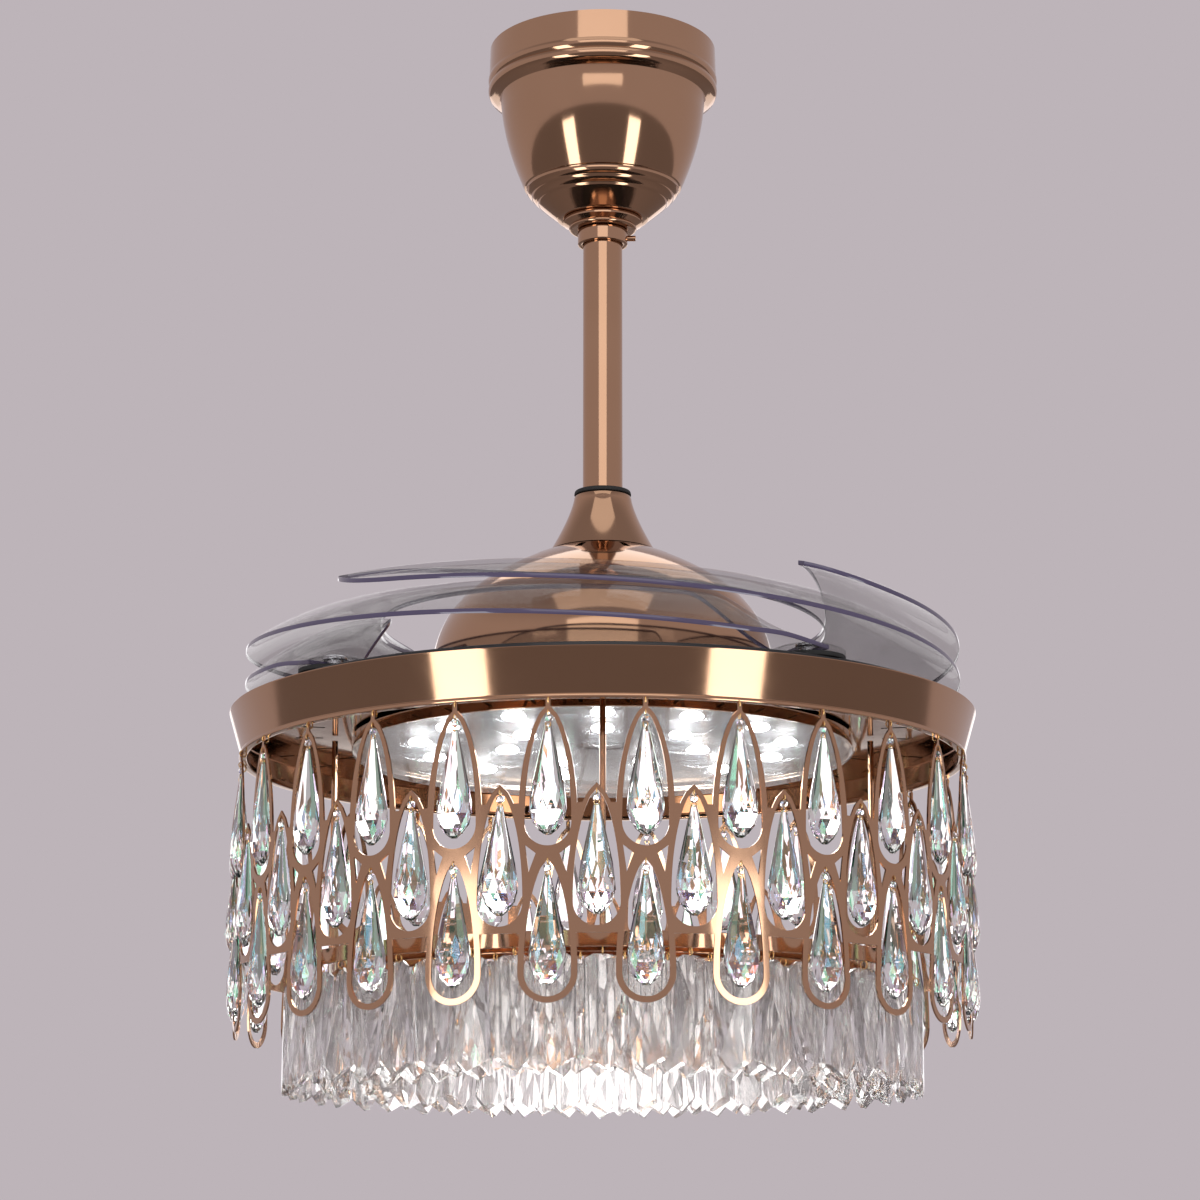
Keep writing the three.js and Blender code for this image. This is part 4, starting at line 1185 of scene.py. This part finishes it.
    def crystal(self) -> bmesh.types.BMesh:
        """Builds one cut crystal, tip up, hanging below the origin.

        Returns:
            The crystal.
        """
        (wide, deep), sides, rings = self.crystal_half, self.crystal_sides, self.crystal_rings
        bm = bmesh.new()
        loops = []
        for number, (drop, share, half_step) in enumerate(rings):
            made = bmesh.ops.create_circle(bm, cap_ends=number in (0, len(rings) - 1), radius=1,
                                           segments=sides)
            turn = Matrix.Rotation(math.pi / sides * half_step, 4, "Z")
            scale = Matrix.Diagonal((wide * share * MM, deep * share * MM, 1, 1))
            place = Matrix.Translation((0, 0, -drop * MM)) @ scale @ turn
            bmesh.ops.transform(bm, matrix=place, verts=made["verts"])
            ring = set(made["verts"])
            loops.append([e for e in bm.edges if ring.issuperset(e.verts)])
        for first, second in zip(loops, loops[1:]):
            bmesh.ops.bridge_loops(bm, edges=first + second)
        bmesh.ops.triangulate(bm, faces=bm.faces[:])
        bmesh.ops.recalc_face_normals(bm, faces=bm.faces)
        bead = bmesh.new()
        bmesh.ops.create_icosphere(bead, subdivisions=1, radius=self.bead_radius * MM)
        bmesh.ops.scale(bead, vec=(1, 0.7, 1), verts=bead.verts)
        return merged(bm, moved(bead, 0, 0, -self.bead_drop))

    def build(self) -> None:
        """Builds the screen, the three rows of crystals and the wires that they hang on."""
        ring = self.bent(self.cell())
        soften(ring, 25)
        add_piece("teardrop_screen", ring, Place("hanger", "rose_gold", ("crystal_screen",)))
        links = []
        for row, name in enumerate(("upper", "middle", "lower")):
            start = math.radians(self.first_angle) + self.shift(row) / self.radius
            angles = [start + FULL_TURN * i / self.columns for i in range(self.columns)]
            height = self.top - self.strip - self.rows[row]
            bm = moved(self.crystal(), 0, 0, height)
            add_piece(f"{name}_crystals", round_copies(bm, self.radius, angles),
                      Place("hanger", "crystal", (f"{name}_drops",)))
            size, wire, drop = self.bead_ring
            bead_hook = moved(turned(wire_ring(size, wire), 90, "Z"), 0, 0, height - drop)
            size, wire, drop = self.crystal_ring
            hook = merged(bead_hook, moved(wire_ring(size, wire), 0, 0, height - drop))
            links.append(round_copies(hook, self.radius, angles))
            if row == 0:
                size, wire, drop = self.top_ring
                top_hook = moved(turned(wire_ring(size, wire), 90, "Z"), 0, 0,
                                 self.lip_bottom - drop)
                links.append(round_copies(top_hook, self.radius - 1.0, angles))
        whole = merged(*links)
        soften(whole, 60)
        add_piece("crystal_hooks", whole, Place("hanger", "rose_gold"), HOOK_GOLD)


# ---- Tiers of prisms -------------------------------------------------------------------------
@dataclass
class PrismTiers:
    """The gold hoops under the pan, their rods and the long prisms that hang from them."""

    radii: tuple[float, ...] = (206.0, 180.0, 154.0)
    counts: tuple[int, ...] = (48, 42, 36)
    hoop_top: float = -647.3
    hoop_bottom: float = -657.3
    hoop_metal: float = 1.6
    rod_top: float = -494.6
    rods: int = 4
    length: float = 72.5
    drop: float = 4.5
    thickness: float = 9.0
    width_share: float = 0.84
    rod_radius: float = 2.0
    spoke_width: float = 4.0
    spoke_height: float = 1.6
    ring_radius: float = 2.6
    ring_wire: float = 0.5
    ring_drop: float = 2.2

    def prism(self, width: float, lean: int) -> bmesh.types.BMesh:
        """Builds one bar with slanting facets and a slanting end.

        Args:
            width: The bar's width.
            lean: -1 or 1, the way its facets lean.

        Returns:
            The bar, hanging from its hook at the origin.
        """
        bm = block(width, self.thickness, self.length, 1.0, 1)
        w, t, h = width / 2, self.thickness / 2, self.length / 2
        cuts = (
            ((lean * w * 0.3, -t, 0), (lean * 0.5, -1, 0.12)),
            ((-lean * w * 0.4, -t * 0.75, -h * 0.3), (-lean * 0.35, -1, -0.16)),
            ((-lean * w * 0.2, t, 0), (-lean * 0.4, 1, 0.14)),
            ((0, 0, -h + 4.5), (lean * 0.55, -0.25, -1)),
            ((-lean * w * 0.75, 0, -h + 9), (-lean * 0.9, 0, -0.8)),
            ((w * 0.5, 0, h), (0.62, 0, 1)),
            ((-w * 0.5, 0, h), (-0.62, 0, 1)),
        )
        for point, normal in cuts:
            made = bmesh.ops.bisect_plane(bm, geom=bm.verts[:] + bm.edges[:] + bm.faces[:],
                                          plane_co=Vector(point) * MM, plane_no=normal,
                                          clear_outer=True)
            edges = [g for g in made["geom_cut"] if isinstance(g, bmesh.types.BMEdge)]
            if edges:
                bmesh.ops.contextual_create(bm, geom=edges)
        bmesh.ops.recalc_face_normals(bm, faces=bm.faces)
        return moved(bm, 0, 0, -self.drop - h)

    def build(self) -> None:
        """Builds the frame, the prisms and the rings that they hang on."""
        hoops = []
        for radius in self.radii:
            half = self.hoop_metal / 2
            hoops.append(spun(rounded([
                (radius - half, self.hoop_bottom), (radius + half, self.hoop_bottom),
                (radius + half, self.hoop_top), (radius - half, self.hoop_top)], 0.4), 160))
        angles = [FULL_TURN * i / self.rods for i in range(self.rods)]
        length = self.rod_top - self.hoop_top + 5
        thick = self.rod_radius
        rod = spun(rounded([(0, 0), (thick, 0), (thick, -length), (0, -length)], 0.4), 24)
        hoops.append(round_copies(moved(rod, 0, 0, self.rod_top), self.radii[1], angles))
        span = self.radii[0] - self.radii[-1]
        spoke = moved(block(self.spoke_width, span, self.spoke_height), 0, 0,
                      (self.hoop_top + self.hoop_bottom) / 2)
        hoops.append(round_copies(spoke, self.radii[1], angles))
        frame_mesh = merged(*hoops)
        soften(frame_mesh)
        add_piece("prism_hoops", frame_mesh, Place("hanger", "rose_gold", ("prism_frame",)))
        links = []
        for number, (radius, count) in enumerate(zip(self.radii, self.counts)):
            width = FULL_TURN * radius / count * self.width_share
            bars = []
            for lean, first in ((1, 0), (-1, 1)):
                angles = [FULL_TURN * i / count for i in range(first, count, 2)]
                bars.append(round_copies(moved(self.prism(width, lean), 0, 0, self.hoop_bottom),
                                         radius, angles))
            add_piece(f"prisms_{number + 1}", merged(*bars),
                      Place("hanger", "crystal", (f"prism_tier_{number + 1}",)), PRISM)
            link = turned(wire_ring(self.ring_radius, self.ring_wire), 90, "Z")
            links.append(round_copies(moved(link, 0, 0, self.hoop_bottom - self.ring_drop), radius,
                                      [FULL_TURN * i / count for i in range(count)]))
        whole = merged(*links)
        soften(whole, 60)
        add_piece("prism_rings", whole, Place("hanger", "rose_gold"), HOOK_GOLD)


# ---- Inner pieces -------------------------------------------------------------------------------
@dataclass
class InnerPieces:
    """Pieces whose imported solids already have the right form."""

    bevel: float = 0.5
    rounded_nodes: tuple[str, ...] = (
        "ceiling_bracket", "receiver_box", "led_driver", "ball_pin", "hitch_pin", "shaft_nut")

    def build(self) -> None:
        """Gives every node its finish, and some of them copies with rounded edges."""
        slots = {part["node"]: part["material_slot"] for part in frame["record"]["subparts"]}
        for name, node in frame["nodes"].items():
            node.data.materials.clear()
            node.data.materials.append(SLOT_FINISH[slots[name]].material())
        for name in self.rounded_nodes:
            self.rounded_copy(name, slots[name])

    def rounded_copy(self, name: str, slot: str) -> None:
        """Replaces a node by a copy of it with rounded edges.

        Args:
            name: The node's name.
            slot: Its material slot.
        """
        node = frame["nodes"][name]
        bm = bmesh.new()
        bm.from_mesh(node.data)
        bmesh.ops.remove_doubles(bm, verts=bm.verts, dist=1e-6)
        bmesh.ops.dissolve_limit(bm, angle_limit=math.radians(1), verts=bm.verts,
                                 edges=bm.edges)
        edges = [e for e in bm.edges
                 if len(e.link_faces) == 2 and e.calc_face_angle(0) > math.radians(30)]
        bmesh.ops.bevel(bm, geom=edges, offset=self.bevel * MM, segments=2, profile=0.5,
                        affect="EDGES", material=-1, clamp_overlap=True)
        soften(bm, 40)
        body = node["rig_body"]
        add_piece(f"{name}_finished", bm, Place(body, slot, (name,)))


# ---- Studio -------------------------------------------------------------------------------------
@dataclass(frozen=True)
class SoftBox:
    """A soft rectangular light, in metres, degrees and watts."""

    name: str
    angle: float  # from the camera's side towards +X
    distance: float  # from the fan's axis
    height: float  # of its middle
    size: Point
    power: float


@dataclass
class Studio:
    """The camera, the soft lights, the background and the grey floor, in metres."""

    background: Colour = (0.509, 0.456, 0.485)
    ambient: float = 0.55
    floor_height: float = -2.9
    floor_radius: float = 30.0
    floor_color: Colour = (0.36, 0.31, 0.32)
    overhead: float = 0.65
    overhead_heights: Point = (0.5, 0.8)
    boxes: tuple[SoftBox, ...] = (
        SoftBox("softbox_left", -41.3, 1.6, -1.13, (0.48, 1.6), 9.0),
        SoftBox("softbox_right", 38.4, 1.6, -1.13, (0.48, 1.6), 9.0),
        SoftBox("softbox_back", 180, 2.6, -0.35, (2.2, 1.2), 8),
        SoftBox("softbox_front", 0, 3.0, 0.95, (2.6, 1.6), 13),
        SoftBox("softbox_high", 0, 1.2, 1.6, (2.2, 1.0), 4.6),
        SoftBox("softbox_top", 180, 1.6, 1.9, (2.4, 1.4), 14),
    )
    aim_height: float = -0.5
    glow_size: float = 0.3
    glow_power: float = 1.0
    glow_height: float = -0.5115
    focal: float = 102.27
    sensor: float = 36.0
    sight: float = 50.0
    camera_place: Spot = (0.0, -2.259, -0.9003)
    camera_pitch: float = 12.55
    side_shift: float = -0.00225

    def build(self) -> None:
        """Builds the camera, the world, the floor and the lights."""
        self.build_camera()
        self.build_world()
        self.build_floor()
        for box in self.boxes:
            self.add_box(box)
        lamp = bpy.data.lights.new("lamp_glow", "AREA")
        lamp.shape, lamp.size, lamp.energy = "DISK", self.glow_size, self.glow_power
        holder = bpy.data.objects.new("lamp_glow", lamp)
        holder.location = (0, 0, self.glow_height)
        holder.visible_camera = False
        bpy.context.scene.collection.objects.link(holder)

    def build_camera(self) -> None:
        """Sets the camera at the photograph's angle."""
        data = bpy.data.cameras.new("camera")
        data.lens, data.sensor_width, data.shift_x = self.focal, self.sensor, self.side_shift
        data.clip_end = self.sight
        camera = bpy.data.objects.new("camera", data)
        camera.location = self.camera_place
        camera.rotation_euler = (math.radians(90 + self.camera_pitch), 0, 0)
        bpy.context.scene.collection.objects.link(camera)
        bpy.context.scene.camera = camera

    def build_world(self) -> None:
        """Lights the object evenly; camera, metal and glass see a background, dimmer overhead."""
        world = bpy.data.worlds.new("studio")
        bpy.context.scene.world = world
        world.use_nodes = True
        nodes, links = world.node_tree.nodes, world.node_tree.links
        nodes.clear()
        output = nodes.new("ShaderNodeOutputWorld")
        rays = nodes.new("ShaderNodeLightPath")
        seen = nodes.new("ShaderNodeMath")
        seen.operation = "MAXIMUM"
        both = nodes.new("ShaderNodeMath")
        both.operation = "MAXIMUM"
        links.new(rays.outputs["Is Camera Ray"], seen.inputs[0])
        links.new(rays.outputs["Is Glossy Ray"], seen.inputs[1])
        links.new(seen.outputs[0], both.inputs[0])
        links.new(rays.outputs["Is Transmission Ray"], both.inputs[1])
        pale = nodes.new("ShaderNodeBackground")
        pale.inputs["Color"].default_value = (*self.background, 1)
        place = nodes.new("ShaderNodeTexCoord")
        parts = nodes.new("ShaderNodeSeparateXYZ")
        links.new(place.outputs["Generated"], parts.inputs[0])
        fade = nodes.new("ShaderNodeMapRange")
        fade.interpolation_type = "SMOOTHSTEP"
        for socket, value in zip(("From Min", "From Max", "To Min", "To Max"),
                                 (*self.overhead_heights, 1, self.overhead)):
            fade.inputs[socket].default_value = value
        links.new(parts.outputs["Z"], fade.inputs["Value"])
        links.new(fade.outputs[0], pale.inputs["Strength"])
        light = nodes.new("ShaderNodeBackground")
        light.inputs["Color"].default_value = (1, 1, 1, 1)
        light.inputs["Strength"].default_value = self.ambient
        mix = nodes.new("ShaderNodeMixShader")
        links.new(both.outputs[0], mix.inputs["Fac"])
        links.new(light.outputs[0], mix.inputs[1])
        links.new(pale.outputs[0], mix.inputs[2])
        links.new(mix.outputs[0], output.inputs["Surface"])

    def build_floor(self) -> None:
        """Lays a wide grey floor far below the fan, seen alike by every ray."""
        bm = bmesh.new()
        bmesh.ops.create_circle(bm, cap_ends=True, radius=self.floor_radius, segments=48)
        bmesh.ops.translate(bm, vec=(0, 0, self.floor_height), verts=bm.verts)
        mesh = bpy.data.meshes.new("floor")
        bm.to_mesh(mesh)
        bm.free()
        floor = bpy.data.objects.new("floor", mesh)
        bpy.context.scene.collection.objects.link(floor)
        mesh.materials.append(Finish("grey_floor", self.floor_color, 0.9,
                                     tint=self.floor_color, amount=0.1, scale=1).material())

    def add_box(self, box: SoftBox) -> None:
        """Adds a soft rectangular light that faces the fan.

        Args:
            box: The light's place, size and power.
        """
        data = bpy.data.lights.new(box.name, "AREA")
        data.shape, data.size, data.size_y, data.energy = "RECTANGLE", *box.size, box.power
        light = bpy.data.objects.new(box.name, data)
        turn = math.radians(box.angle)
        place = Vector((box.distance * math.sin(turn), -box.distance * math.cos(turn),
                        box.height))
        light.location = place
        light.visible_camera = False
        aim = Vector((0, 0, self.aim_height)) - place
        light.rotation_euler = aim.to_track_quat("-Z", "Y").to_euler()
        bpy.context.scene.collection.objects.link(light)


def main() -> None:
    """Builds the studio and every sub-assembly in order."""
    logging.basicConfig(level=logging.INFO, format="%(message)s")
    bpy.context.scene.view_settings.view_transform = "Standard"
    for assembly in (Studio(), InnerPieces(), Hanger(), MotorDome(), BladeCarrier(), LampBody(),
                     CrystalScreen(), PrismTiers()):
        LOG.info("building %s", type(assembly).__name__)
        assembly.build()


if __name__ == "__main__":
    main()
